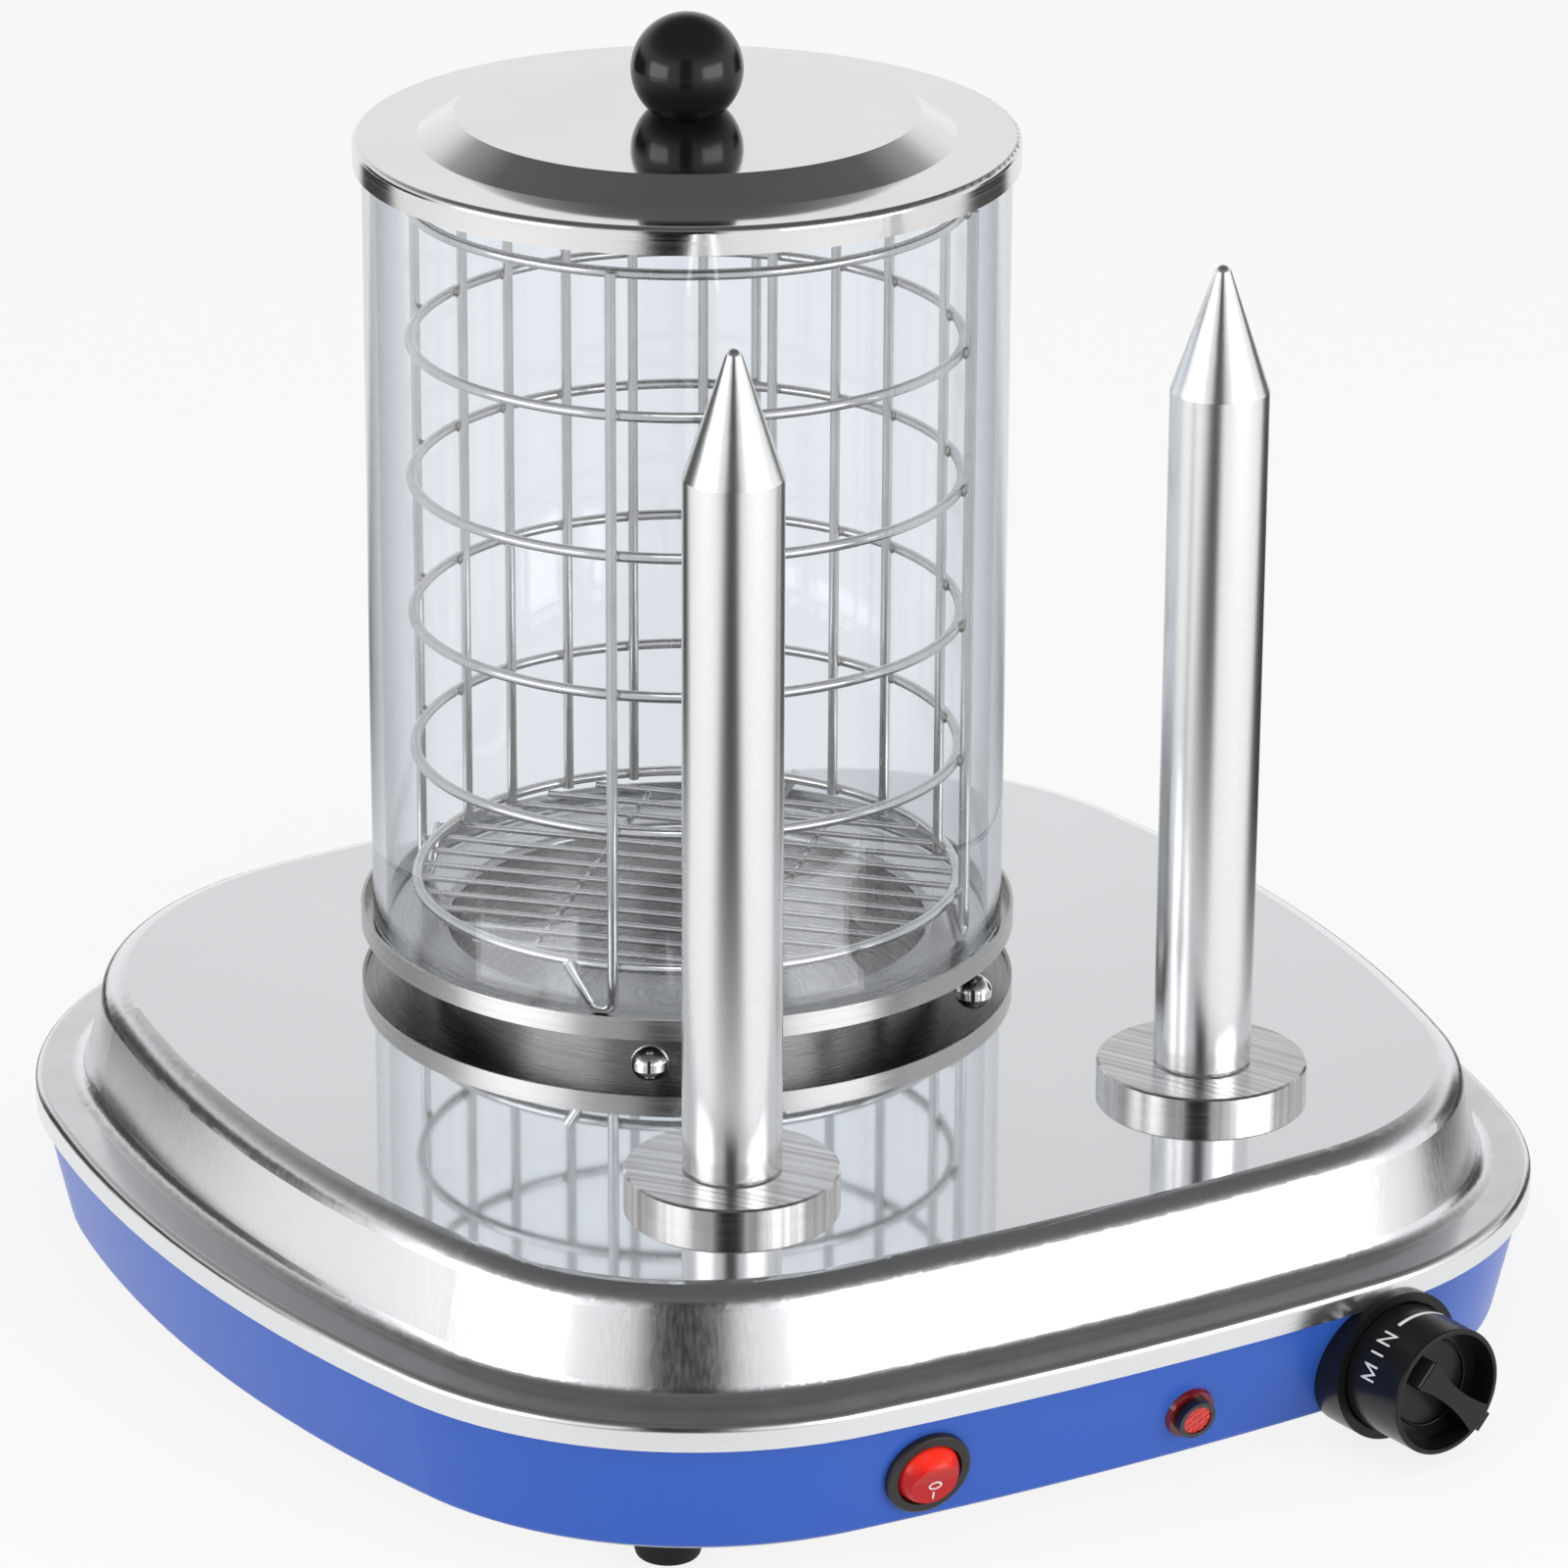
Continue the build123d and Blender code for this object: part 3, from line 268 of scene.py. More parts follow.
print("cloths:", len(standing_cloths) + len(lying_cloths))


# %% Lamps
def soft_lamp(name, spot, target, width, tall, power):
    """A soft box aimed at a point."""
    data = bpy.data.lights.new(name, "AREA")
    data.shape = "RECTANGLE"
    data.size = width
    data.size_y = tall
    data.energy = power
    lamp = bpy.data.objects.new(name, data)
    bpy.context.scene.collection.objects.link(lamp)
    lamp.location = spot
    lamp.rotation_euler = (Vector(target) - Vector(spot)).to_track_quat("-Z", "Y").to_euler()
    return lamp


lamp_distance = 1.75
lamp_height = 0.42
lamp_tall = 0.76
machine_middle = (0, 0, 0.20)
soft_lamp("lamp_right", around(55, lamp_distance, lamp_height), machine_middle, 1.5, lamp_tall, 11)
soft_lamp("lamp_left", around(-62, lamp_distance, lamp_height), machine_middle, 1.3, lamp_tall, 9)
top_lamp = soft_lamp("lamp_top", (-0.5, -1.0, 2.0), (0, 0, 0.1), 0.9, 0.9, 10)
top_lamp.visible_glossy = False
print("lamps:", len(bpy.data.lights))

# %% [markdown]
# ## Finishes
# Each effect that several materials share is a node group, built once: the fine lines that a
# polishing wheel leaves, the rings of a lathe, soft patches of handling, and a mask by height.
# A group only puts out masks and heights, and each material decides what to do with them.

# %% A helper for new groups
def new_group(name, inputs, outputs):
    """An empty shader node group with named sockets, and its two end nodes."""
    group = bpy.data.node_groups.new(name, "ShaderNodeTree")
    for label, kind, value in inputs:
        socket = group.interface.new_socket(name=label, in_out="INPUT", socket_type=kind)
        if value is not None:
            socket.default_value = value
    for label, kind in outputs:
        group.interface.new_socket(name=label, in_out="OUTPUT", socket_type=kind)
    return group, link_node(group, "NodeGroupInput"), link_node(group, "NodeGroupOutput")


# %% Fine lines drawn out along one direction
def polishing_lines():
    """Fine scratches drawn out along one direction, as a mask from 0 to 1."""
    group, start, end = new_group(
        "polishing_lines",
        [("Vector", "NodeSocketVector", None), ("Stretch", "NodeSocketVector", (1, 40, 40)),
         ("Scale", "NodeSocketFloat", 60.0)],
        [("Mask", "NodeSocketFloat"), ("Height", "NodeSocketFloat")],
    )
    stretch = link_node(group, "ShaderNodeVectorMath", operation="MULTIPLY")
    noise = link_node(group, "ShaderNodeTexNoise")
    noise.inputs["Detail"].default_value = 4.0
    noise.inputs["Roughness"].default_value = 0.65
    spread = link_node(group, "ShaderNodeMapRange")
    spread.inputs["From Min"].default_value = 0.35
    spread.inputs["From Max"].default_value = 0.70
    group.links.new(start.outputs["Vector"], stretch.inputs[0])
    group.links.new(start.outputs["Stretch"], stretch.inputs[1])
    group.links.new(stretch.outputs[0], noise.inputs["Vector"])
    group.links.new(start.outputs["Scale"], noise.inputs["Scale"])
    group.links.new(noise.outputs["Fac"], spread.inputs["Value"])
    group.links.new(spread.outputs["Result"], end.inputs["Mask"])
    group.links.new(noise.outputs["Fac"], end.inputs["Height"])
    return group


lines_group = polishing_lines()
print(lines_group.name)


# %% Rings left by a lathe
def turned_lines():
    """Rings round an upright axis, as a lathe leaves them, as a mask from 0 to 1."""
    group, start, end = new_group(
        "turned_lines",
        [("Vector", "NodeSocketVector", None), ("Axis", "NodeSocketVector", (0, 0, 0)),
         ("Rings", "NodeSocketFloat", 900.0), ("Rise", "NodeSocketFloat", 1.0)],
        [("Mask", "NodeSocketFloat"), ("Height", "NodeSocketFloat")],
    )
    offset = link_node(group, "ShaderNodeVectorMath", operation="SUBTRACT")
    split = link_node(group, "ShaderNodeSeparateXYZ")
    flat = link_node(group, "ShaderNodeCombineXYZ")
    radius = link_node(group, "ShaderNodeVectorMath", operation="LENGTH")
    lift = link_node(group, "ShaderNodeMath", operation="MULTIPLY")
    ring = link_node(group, "ShaderNodeMath", operation="ADD")
    scale = link_node(group, "ShaderNodeMath", operation="MULTIPLY")
    noise = link_node(group, "ShaderNodeTexNoise", noise_dimensions="1D")
    noise.inputs["Scale"].default_value = 1.0
    noise.inputs["Detail"].default_value = 3.0
    spread = link_node(group, "ShaderNodeMapRange")
    spread.inputs["From Min"].default_value = 0.3
    spread.inputs["From Max"].default_value = 0.7
    group.links.new(start.outputs["Vector"], offset.inputs[0])
    group.links.new(start.outputs["Axis"], offset.inputs[1])
    group.links.new(offset.outputs[0], split.inputs[0])
    group.links.new(split.outputs["X"], flat.inputs["X"])
    group.links.new(split.outputs["Y"], flat.inputs["Y"])
    group.links.new(flat.outputs[0], radius.inputs[0])
    group.links.new(split.outputs["Z"], lift.inputs[0])
    group.links.new(start.outputs["Rise"], lift.inputs[1])
    group.links.new(radius.outputs["Value"], ring.inputs[0])
    group.links.new(lift.outputs[0], ring.inputs[1])
    group.links.new(ring.outputs[0], scale.inputs[0])
    group.links.new(start.outputs["Rings"], scale.inputs[1])
    group.links.new(scale.outputs[0], noise.inputs["W"])
    group.links.new(noise.outputs["Fac"], spread.inputs["Value"])
    group.links.new(spread.outputs["Result"], end.inputs["Mask"])
    group.links.new(noise.outputs["Fac"], end.inputs["Height"])
    return group


turned_group = turned_lines()
print(turned_group.name)


# %% Soft patches and specks
def soft_blotches():
    """Broad, soft patches of wear, dust or handling, with fine specks on top."""
    group, start, end = new_group(
        "soft_blotches",
        [("Vector", "NodeSocketVector", None), ("Patch Scale", "NodeSocketFloat", 14.0),
         ("Speck Scale", "NodeSocketFloat", 900.0), ("Speck Amount", "NodeSocketFloat", 0.3)],
        [("Patches", "NodeSocketFloat"), ("Specks", "NodeSocketFloat")],
    )
    patch = link_node(group, "ShaderNodeTexNoise")
    patch.inputs["Detail"].default_value = 3.0
    patch.inputs["Distortion"].default_value = 0.4
    speck = link_node(group, "ShaderNodeTexNoise")
    speck.inputs["Detail"].default_value = 2.0
    tight = link_node(group, "ShaderNodeMapRange")
    tight.inputs["From Min"].default_value = 0.62
    tight.inputs["From Max"].default_value = 0.78
    amount = link_node(group, "ShaderNodeMath", operation="MULTIPLY")
    group.links.new(start.outputs["Vector"], patch.inputs["Vector"])
    group.links.new(start.outputs["Vector"], speck.inputs["Vector"])
    group.links.new(start.outputs["Patch Scale"], patch.inputs["Scale"])
    group.links.new(start.outputs["Speck Scale"], speck.inputs["Scale"])
    group.links.new(speck.outputs["Fac"], tight.inputs["Value"])
    group.links.new(tight.outputs["Result"], amount.inputs[0])
    group.links.new(start.outputs["Speck Amount"], amount.inputs[1])
    group.links.new(patch.outputs["Fac"], end.inputs["Patches"])
    group.links.new(amount.outputs[0], end.inputs["Specks"])
    return group


blotch_group = soft_blotches()
print(blotch_group.name)


# %% A mask by height
def height_band():
    """A mask that is 0 below one height and 1 above another, with a soft step between."""
    group, start, end = new_group(
        "height_band",
        [("Vector", "NodeSocketVector", None), ("Low", "NodeSocketFloat", 0.0),
         ("High", "NodeSocketFloat", 1.0)],
        [("Mask", "NodeSocketFloat")],
    )
    split = link_node(group, "ShaderNodeSeparateXYZ")
    step = link_node(group, "ShaderNodeMapRange", interpolation_type="SMOOTHSTEP")
    group.links.new(start.outputs["Vector"], split.inputs[0])
    group.links.new(split.outputs["Z"], step.inputs["Value"])
    group.links.new(start.outputs["Low"], step.inputs["From Min"])
    group.links.new(start.outputs["High"], step.inputs["From Max"])
    group.links.new(step.outputs["Result"], end.inputs["Mask"])
    return group


height_group = height_band()
print(height_group.name)


# %% A material and the groups in it
def principled(material):
    """The material's own shader."""
    return material.node_tree.nodes["Principled BSDF"]


def finish(name, colour, roughness, metallic=0.0, coat=0.0, ior=1.5):
    """A material with a Principled shader."""
    material = bpy.data.materials.new(name)
    material.use_nodes = True
    shader = principled(material)
    shader.inputs["Base Color"].default_value = (*colour, 1)
    shader.inputs["Roughness"].default_value = roughness
    shader.inputs["Metallic"].default_value = metallic
    shader.inputs["Coat Weight"].default_value = coat
    shader.inputs["Coat Roughness"].default_value = 0.05
    shader.inputs["IOR"].default_value = ior
    return material


def add_group(material, group, **values):
    """Places a node group in a material and feeds it the object's coordinates."""
    tree = material.node_tree
    place = tree.nodes.get("place") or link_node(tree, "ShaderNodeTexCoord", name="place")
    holder = link_node(tree, "ShaderNodeGroup")
    holder.node_tree = group
    tree.links.new(place.outputs["Object"], holder.inputs["Vector"])
    for label, value in values.items():
        holder.inputs[label.replace("_", " ")].default_value = value
    return holder


# %% From masks to the shader
def span(material, source, low, high):
    """Stretches a mask to run between two values."""
    tree = material.node_tree
    stretch = link_node(tree, "ShaderNodeMapRange")
    stretch.inputs["To Min"].default_value = low
    stretch.inputs["To Max"].default_value = high
    tree.links.new(source, stretch.inputs["Value"])
    return stretch.outputs["Result"]


def blend(material, mask, first, second):
    """One number below a mask and another above it."""
    tree = material.node_tree
    mix = link_node(tree, "ShaderNodeMix", data_type="FLOAT")
    tree.links.new(mask, mix.inputs[0])
    tree.links.new(first, mix.inputs[2])
    tree.links.new(second, mix.inputs[3])
    return mix.outputs[0]


def drive(material, source, socket="Roughness"):
    """Feeds a value to the shader."""
    material.node_tree.links.new(source, principled(material).inputs[socket])


def tint(material, mask, first, second):
    """Blends between two colours by a mask."""
    tree = material.node_tree
    mix = link_node(tree, "ShaderNodeMix", data_type="RGBA")
    mix.inputs["A"].default_value = (*first, 1)
    mix.inputs["B"].default_value = (*second, 1)
    tree.links.new(mask, mix.inputs["Factor"])
    drive(material, mix.outputs["Result"], "Base Color")


def emboss(material, source, strength, depth):
    """Turns a height into a bump on the surface."""
    tree = material.node_tree
    bump = link_node(tree, "ShaderNodeBump")
    bump.inputs["Strength"].default_value = strength
    bump.inputs["Distance"].default_value = depth
    tree.links.new(source, bump.inputs["Height"])
    drive(material, bump.outputs["Normal"], "Normal")


def glimmer(material, colour, strength):
    """A faint light of its own: the lamp's light on its lens, and a painted glow on the rocker for
    light let through the plastic.
    """
    shader = principled(material)
    shader.inputs["Emission Color"].default_value = (*colour, 1)
    shader.inputs["Emission Strength"].default_value = strength


def wear(names, material):
    """Puts one material on several parts of the model."""
    for name in names:
        mesh = nodes[name].data
        mesh.materials.clear()
        mesh.materials.append(material)
    print(material.name, "on", len(names))


# %% [markdown]
# ### Polished cover
# The cover is drawn from one stainless sheet. Its top is polished to a mirror, its slope is
# polished along its height, and its rim keeps the satin look of the rolled edge. One material
# covers all three: two masks by height choose between three ranges of roughness.

# %% Cover steel
cover_steel = finish("cover_steel", (0.81, 0.815, 0.83), 0.05, metallic=1.0)
cover_patches = add_group(cover_steel, blotch_group, Patch_Scale=9.0, Speck_Scale=1400.0)
slope_lines = add_group(cover_steel, lines_group, Stretch=(1, 1, 0.08), Scale=900.0)
rim_lines = add_group(cover_steel, lines_group, Stretch=(1, 1, 12), Scale=60.0)
above_rim = add_group(cover_steel, height_group, Low=0.0525, High=0.0560)
above_slope = add_group(cover_steel, height_group, Low=0.0800, High=0.0812)
rim_rough = span(cover_steel, rim_lines.outputs["Mask"], 0.15, 0.25)
slope_rough = span(cover_steel, slope_lines.outputs["Mask"], 0.18, 0.27)
top_rough = span(cover_steel, cover_patches.outputs["Patches"], 0.02, 0.08)
lower_rough = blend(cover_steel, above_rim.outputs["Mask"], rim_rough, slope_rough)
drive(cover_steel, blend(cover_steel, above_slope.outputs["Mask"], lower_rough, top_rough))
tint(cover_steel, cover_patches.outputs["Patches"], (0.825, 0.835, 0.85), (0.77, 0.775, 0.79))
wear(["top_cover"], cover_steel)

dome_steel = finish("dome_steel", (0.78, 0.77, 0.76), 0.10, metallic=1.0)
dome_patches = add_group(dome_steel, blotch_group, Patch_Scale=160.0)
drive(dome_steel, span(dome_steel, dome_patches.outputs["Patches"], 0.06, 0.16))
wear([f"cover_screw_{n}" for n in range(1, 5)], dome_steel)

# %% [markdown]
# ### Lid, tray and wires
# The lid was spun and polished on the wheel, so its lines run round its axis, and its skirt is a
# little duller than its crown. The tray is satin. The wires are bright drawn steel.

# %% Lid, tray and wire steel
glass_low, glass_high = (Vector(corner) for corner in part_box("glass_cylinder"))
glass_axis = (glass_low + glass_high) / 2
glass_top = glass_high.z
spin_axis = (glass_axis.x, glass_axis.y, 0)

lid_steel = finish("lid_steel", (0.78, 0.77, 0.755), 0.1, metallic=1.0)
spun = add_group(lid_steel, turned_group, Axis=spin_axis, Rings=1500.0)
lid_patches = add_group(lid_steel, blotch_group, Patch_Scale=16.0)
above_skirt = add_group(lid_steel, height_group, Low=glass_top - 0.003,
                        High=glass_top + 0.0005)
crown_rough = span(lid_steel, spun.outputs["Mask"], 0.05, 0.11)
skirt_rough = span(lid_steel, spun.outputs["Mask"], 0.11, 0.20)
drive(lid_steel, blend(lid_steel, above_skirt.outputs["Mask"], skirt_rough, crown_rough))
tint(lid_steel, lid_patches.outputs["Patches"], (0.82, 0.81, 0.795), (0.72, 0.71, 0.70))
wear(["lid_shell"], lid_steel)

tray_steel = finish("tray_steel", (0.52, 0.51, 0.50), 0.28, metallic=1.0)
tray_rings = add_group(tray_steel, turned_group, Axis=spin_axis, Rings=900.0)
tray_marks = add_group(tray_steel, blotch_group, Patch_Scale=22.0, Speck_Scale=1200.0)
drive(tray_steel, span(tray_steel, tray_rings.outputs["Mask"], 0.22, 0.29))
tint(tray_steel, tray_marks.outputs["Patches"], (0.58, 0.57, 0.56), (0.46, 0.455, 0.45))
wear(["water_tray"], tray_steel)

# The tray seat is painted a darker steel than the tray: painted shade under the tray.
seat_steel_painted_shade = finish("seat_steel_painted_shade", (0.40, 0.39, 0.38), 0.22, metallic=1.0)
seat_rings = add_group(seat_steel_painted_shade, turned_group, Axis=spin_axis, Rings=700.0)
drive(seat_steel_painted_shade, span(seat_steel_painted_shade, seat_rings.outputs["Mask"], 0.18, 0.25))
wear(["tray_seat"], seat_steel_painted_shade)

wire_steel = finish("wire_steel", (0.62, 0.61, 0.60), 0.2, metallic=1.0)
wire_marks = add_group(wire_steel, lines_group, Stretch=(1, 1, 0.2), Scale=260.0)
wire_stain = add_group(wire_steel, blotch_group, Patch_Scale=55.0)
drive(wire_steel, span(wire_steel, wire_marks.outputs["Mask"], 0.12, 0.30))
tint(wire_steel, wire_stain.outputs["Patches"], (0.70, 0.69, 0.68), (0.50, 0.485, 0.47))
wear(["basket_rings", "basket_uprights", "basket_legs", "basket_floor"], wire_steel)

# %% [markdown]
# ### Turned aluminium
# The spikes were turned and tumbled, which leaves a fine satin grain without direction. The flat
# tops of the discs were faced with a wide cut, so their lines are long arcs round a far centre,
# like the grain of wood. Fine lines run round their sides.

# %% Aluminium
spike_metal = finish("spike_metal", (0.86, 0.87, 0.88), 0.27, metallic=1.0)
spike_grain = add_group(spike_metal, blotch_group, Patch_Scale=2200.0, Speck_Scale=5200.0)
drive(spike_metal, span(spike_metal, spike_grain.outputs["Specks"], 0.25, 0.33))
tint(spike_metal, spike_grain.outputs["Patches"], (0.94, 0.94, 0.94), (0.76, 0.77, 0.79))
emboss(spike_metal, spike_grain.outputs["Patches"], 0.10, 0.0001)
wear(["spike_left", "spike_right"], spike_metal)

disc_metal = finish("disc_metal", (0.76, 0.75, 0.74), 0.2, metallic=1.0)
disc_arcs = add_group(disc_metal, turned_group, Axis=(-0.34, -0.30, 0), Rings=420.0, Rise=0.0)
disc_lines = add_group(disc_metal, lines_group, Stretch=(0.02, 0.02, 1), Scale=1400.0)
drive(disc_metal, span(disc_metal, disc_lines.outputs["Mask"], 0.16, 0.24))
tint(disc_metal, disc_arcs.outputs["Mask"], (0.78, 0.765, 0.76), (0.50, 0.475, 0.47))
wear(["spike_disc_left", "spike_disc_right"], disc_metal)

# %% [markdown]
# ### Blue enamel, plastics and rubber
# The base is sprayed and baked, so it is smooth with a very fine ripple. The colour goes on the
# base layer, and a thin clear coat on top gives a faint highlight.

# %% Paint and black plastic
blue_enamel = finish("blue_enamel", (0.036, 0.120, 0.53), 0.32, coat=0.08, ior=1.33)
ripple = add_group(blue_enamel, blotch_group, Patch_Scale=260.0, Speck_Scale=2600.0)
emboss(blue_enamel, ripple.outputs["Patches"], 0.05, 0.0002)
tint(blue_enamel, ripple.outputs["Specks"], (0.036, 0.120, 0.53), (0.060, 0.16, 0.60))
wear(["base_shell"], blue_enamel)

black_gloss = finish("black_gloss", (0.010, 0.010, 0.011), 0.14, ior=1.42)
handling = add_group(black_gloss, blotch_group, Patch_Scale=60.0, Speck_Scale=1800.0)
drive(black_gloss, span(black_gloss, handling.outputs["Patches"], 0.08, 0.22))
wear(["lid_knob"], black_gloss)

black_satin = finish("black_satin", (0.020, 0.019, 0.020), 0.34, ior=1.42)
grain = add_group(black_satin, blotch_group, Patch_Scale=900.0)
drive(black_satin, span(black_satin, grain.outputs["Patches"], 0.28, 0.44))
emboss(black_satin, grain.outputs["Patches"], 0.08, 0.0001)
wear(["switch_housing", "cable_gland", "gland_nut", "thermal_cutout"], black_satin)

black_knob = finish("black_knob", (0.009, 0.009, 0.010), 0.22, ior=1.36)
knob_grain = add_group(black_knob, blotch_group, Patch_Scale=90.0)
drive(black_knob, span(black_knob, knob_grain.outputs["Patches"], 0.18, 0.32))
wear(["knob_collar", "thermostat_knob"], black_knob)

rubber = finish("rubber", (0.008, 0.008, 0.009), 0.6, ior=1.3)
dusty = add_group(rubber, blotch_group, Patch_Scale=90.0)
drive(rubber, span(rubber, dusty.outputs["Patches"], 0.5, 0.75))
wear([f"foot_{n}" for n in range(1, 5)], rubber)

# %% Red plastics
rocker_top = Vector(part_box("switch_rocker")[1]).z
# The rocker is painted a brighter red towards its top and a darker red below: painted light on its
# upper part. Its faint glow is painted light as well.
rocker_red = finish("rocker_red", (0.62, 0.012, 0.010), 0.24, ior=1.36)
rocker_painted_light = add_group(rocker_red, height_group, Low=rocker_top - 0.0088,
                        High=rocker_top - 0.0035)
tint(rocker_red, rocker_painted_light.outputs["Mask"], (0.44, 0.004, 0.007), (0.92, 0.030, 0.012))
glimmer(rocker_red, (1, 0.03, 0.02), 0.08)
wear(["switch_rocker"], rocker_red)

lens_low, lens_high = (Vector(corner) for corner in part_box("lamp_lens"))
lens_centre = (lens_low + lens_high) / 2
dark_ring_r, red_ring_r = 0.0061, 0.0066
bezel_red = finish("bezel_red", (0.25, 0.004, 0.006), 0.16, coat=0.3)
bezel_tree = bezel_red.node_tree
bezel_place = link_node(bezel_tree, "ShaderNodeTexCoord")
bezel_away = link_node(bezel_tree, "ShaderNodeVectorMath", operation="DISTANCE")
bezel_away.inputs[1].default_value = lens_centre
bezel_step = link_node(bezel_tree, "ShaderNodeMapRange")
bezel_step.inputs["From Min"].default_value = dark_ring_r
bezel_step.inputs["From Max"].default_value = red_ring_r
bezel_tree.links.new(bezel_place.outputs["Object"], bezel_away.inputs[0])
bezel_tree.links.new(bezel_away.outputs["Value"], bezel_step.inputs["Value"])
tint(bezel_red, bezel_step.outputs["Result"], (0.012, 0.006, 0.006), (0.17, 0.004, 0.007))
wear(["lamp_bezel"], bezel_red)

lens_red = finish("lens_red", (0.70, 0.02, 0.015), 0.2, coat=0.3)
glimmer(lens_red, (1, 0.06, 0.03), 0.06)
sparkle = add_group(lens_red, blotch_group, Patch_Scale=700.0)
tint(lens_red, sparkle.outputs["Patches"], (0.35, 0.006, 0.008), (0.85, 0.05, 0.03))
wear(["lamp_lens"], lens_red)

# %% Hidden parts
plain_steel = finish("plain_steel", (0.55, 0.55, 0.56), 0.35, metallic=1.0)
plain_marks = add_group(plain_steel, blotch_group, Patch_Scale=40.0)
drive(plain_steel, span(plain_steel, plain_marks.outputs["Patches"], 0.28, 0.45))
fasteners = [f"{part}_{n}" for part in ("cover_nut", "foot_screw") for n in range(1, 5)]
wear(["bottom_plate", "heater_plate", "heater_stud", "heater_nut", "lid_knob_screw", "lamp_nut",
      "spike_nut_left", "spike_nut_right", "thermostat_body", "thermostat_nut",
      "thermostat_shaft"] + fasteners, plain_steel)

ceramic = finish("ceramic", (0.72, 0.71, 0.66), 0.6)
ceramic_marks = add_group(ceramic, blotch_group, Patch_Scale=120.0)
drive(ceramic, span(ceramic, ceramic_marks.outputs["Patches"], 0.45, 0.7))
wear(["terminal_block"], ceramic)

brass = finish("brass", (0.72, 0.50, 0.20), 0.3, metallic=1.0)
brass_marks = add_group(brass, blotch_group, Patch_Scale=200.0)
drive(brass, span(brass, brass_marks.outputs["Patches"], 0.2, 0.4))
wear(["switch_terminals"], brass)

dark_sheath = finish("dark_sheath", (0.12, 0.11, 0.10), 0.45, metallic=1.0)
sheath_marks = add_group(dark_sheath, blotch_group, Patch_Scale=80.0)
tint(dark_sheath, sheath_marks.outputs["Patches"], (0.16, 0.14, 0.12), (0.07, 0.07, 0.075))
wear(["heating_element", "spike_heater_left", "spike_heater_right"], dark_sheath)

# %% [markdown]
# ### Glass
# Clear glass is one closed tube with a real wall, so the render bends light at both faces. The
# tint is slight and cool. Seen edge on it is deeper, as light goes a longer way through the wall.

# %% Glass
clear_glass = finish("clear_glass", (0.90, 0.925, 0.96), 0.0, ior=1.47)
principled(clear_glass).inputs["Transmission Weight"].default_value = 1.0
glass_tree = clear_glass.node_tree
edge_on = link_node(glass_tree, "ShaderNodeLayerWeight")
edge_on.inputs["Blend"].default_value = 0.5
edge_step = link_node(glass_tree, "ShaderNodeMapRange", interpolation_type="SMOOTHSTEP")
edge_step.inputs["From Min"].default_value = 0.45
edge_step.inputs["From Max"].default_value = 0.98
glass_tree.links.new(edge_on.outputs["Facing"], edge_step.inputs["Value"])
tint(clear_glass, edge_step.outputs["Result"], (0.905, 0.93, 0.96), (0.40, 0.44, 0.48))
wear(["glass_cylinder"], clear_glass)


# %% [markdown]
# ## Printed marks
# The knob has plain white letters and a line on its barrel, and the rocker has the usual ring and
# bar. Each mark is a thin printed ribbon: a path with a width, bent to the surface under it.

# %% A ribbon along a path
print_thickness = 0.00006
corner_limit = 0.45


def ribbon(path, width, closed=False):
    """The left and right edges of a flat ribbon along a 2-D path, with square corners kept."""
    points = [Vector(point) for point in path]
    count = len(points)
    edges = []
    for i, point in enumerate(points):
        before = points[i - 1] if (closed or i > 0) else None
        after = points[(i + 1) % count] if (closed or i < count - 1) else None
        run_in = (after - point if before is None else point - before).normalized()
        run_out = run_in if after is None else (after - point).normalized()
        side = Vector((-(run_in.y + run_out.y), run_in.x + run_out.x)).normalized()
        reach = width / 2 / max(corner_limit, side.dot(Vector((-run_in.y, run_in.x))))
        edges.append((point + side * reach, point - side * reach))
    return edges


def divide(path, step):
    """The same path with no piece longer than a step, so that it can bend."""
    out = [Vector(path[0])]
    for start, stop in zip(path, path[1:]):
        start, stop = Vector(start), Vector(stop)
        count = max(1, math.ceil((stop - start).length / step))
        out += [start.lerp(stop, i / count) for i in range(1, count + 1)]
    return out


# %% A printed mark
def printed(name, strokes, width, place, body, material):
    """A printed mark: ribbons laid on a surface by a function of two lengths."""
    mesh = bpy.data.meshes.new(name)
    vertices, faces = [], []
    for path, closed in strokes:
        edges = ribbon(path, width, closed)
        first = len(vertices)
        for left, right in edges:
            vertices += [place(left.x, left.y), place(right.x, right.y)]
        for i in range(len(edges) - 1 + closed):
            j = (i + 1) % len(edges)
            faces.append((first + 2 * i, first + 2 * i + 1, first + 2 * j + 1, first + 2 * j))
    mesh.from_pydata(vertices, [], faces)
    mesh.materials.append(material)
    obj = bpy.data.objects.new(name, mesh)
    bpy.context.scene.collection.objects.link(obj)
    layer = obj.modifiers.new("print_thickness", "SOLIDIFY")
    layer.thickness = print_thickness
    layer.offset = 0
    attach(obj, body)
    print(name, len(faces), "faces")


white_print = finish("white_print", (0.85, 0.85, 0.84), 0.45)
print_wear = add_group(white_print, blotch_group, Patch_Scale=700.0)
tint(white_print, print_wear.outputs["Patches"], (0.90, 0.90, 0.89), (0.70, 0.70, 0.69))

# %% Letters on the knob
joints = {joint["name"]: joint for joint in frame["record"]["behaviour"]["joints"]}
knob_axis = Vector(joints["knob_turn"]["axis"])
knob_centre = Vector(joints["knob_turn"]["pos_m"])
knob_across = Vector((-knob_axis.y, knob_axis.x, 0)).normalized()
up = Vector((0, 0, 1))
barrel_r = 0.0189 + 0.00004
letter_top, letter_tall = 19.4, 4.9


def on_barrel(around_mm, depth_mm):
    """A spot on the knob's barrel: millimetres round it from its right side, and out along it."""
    turn = around_mm / (barrel_r * 1000)
    return (knob_centre + (knob_across * math.cos(turn) + up * math.sin(turn)) * barrel_r
            + knob_axis * depth_mm / 1000)


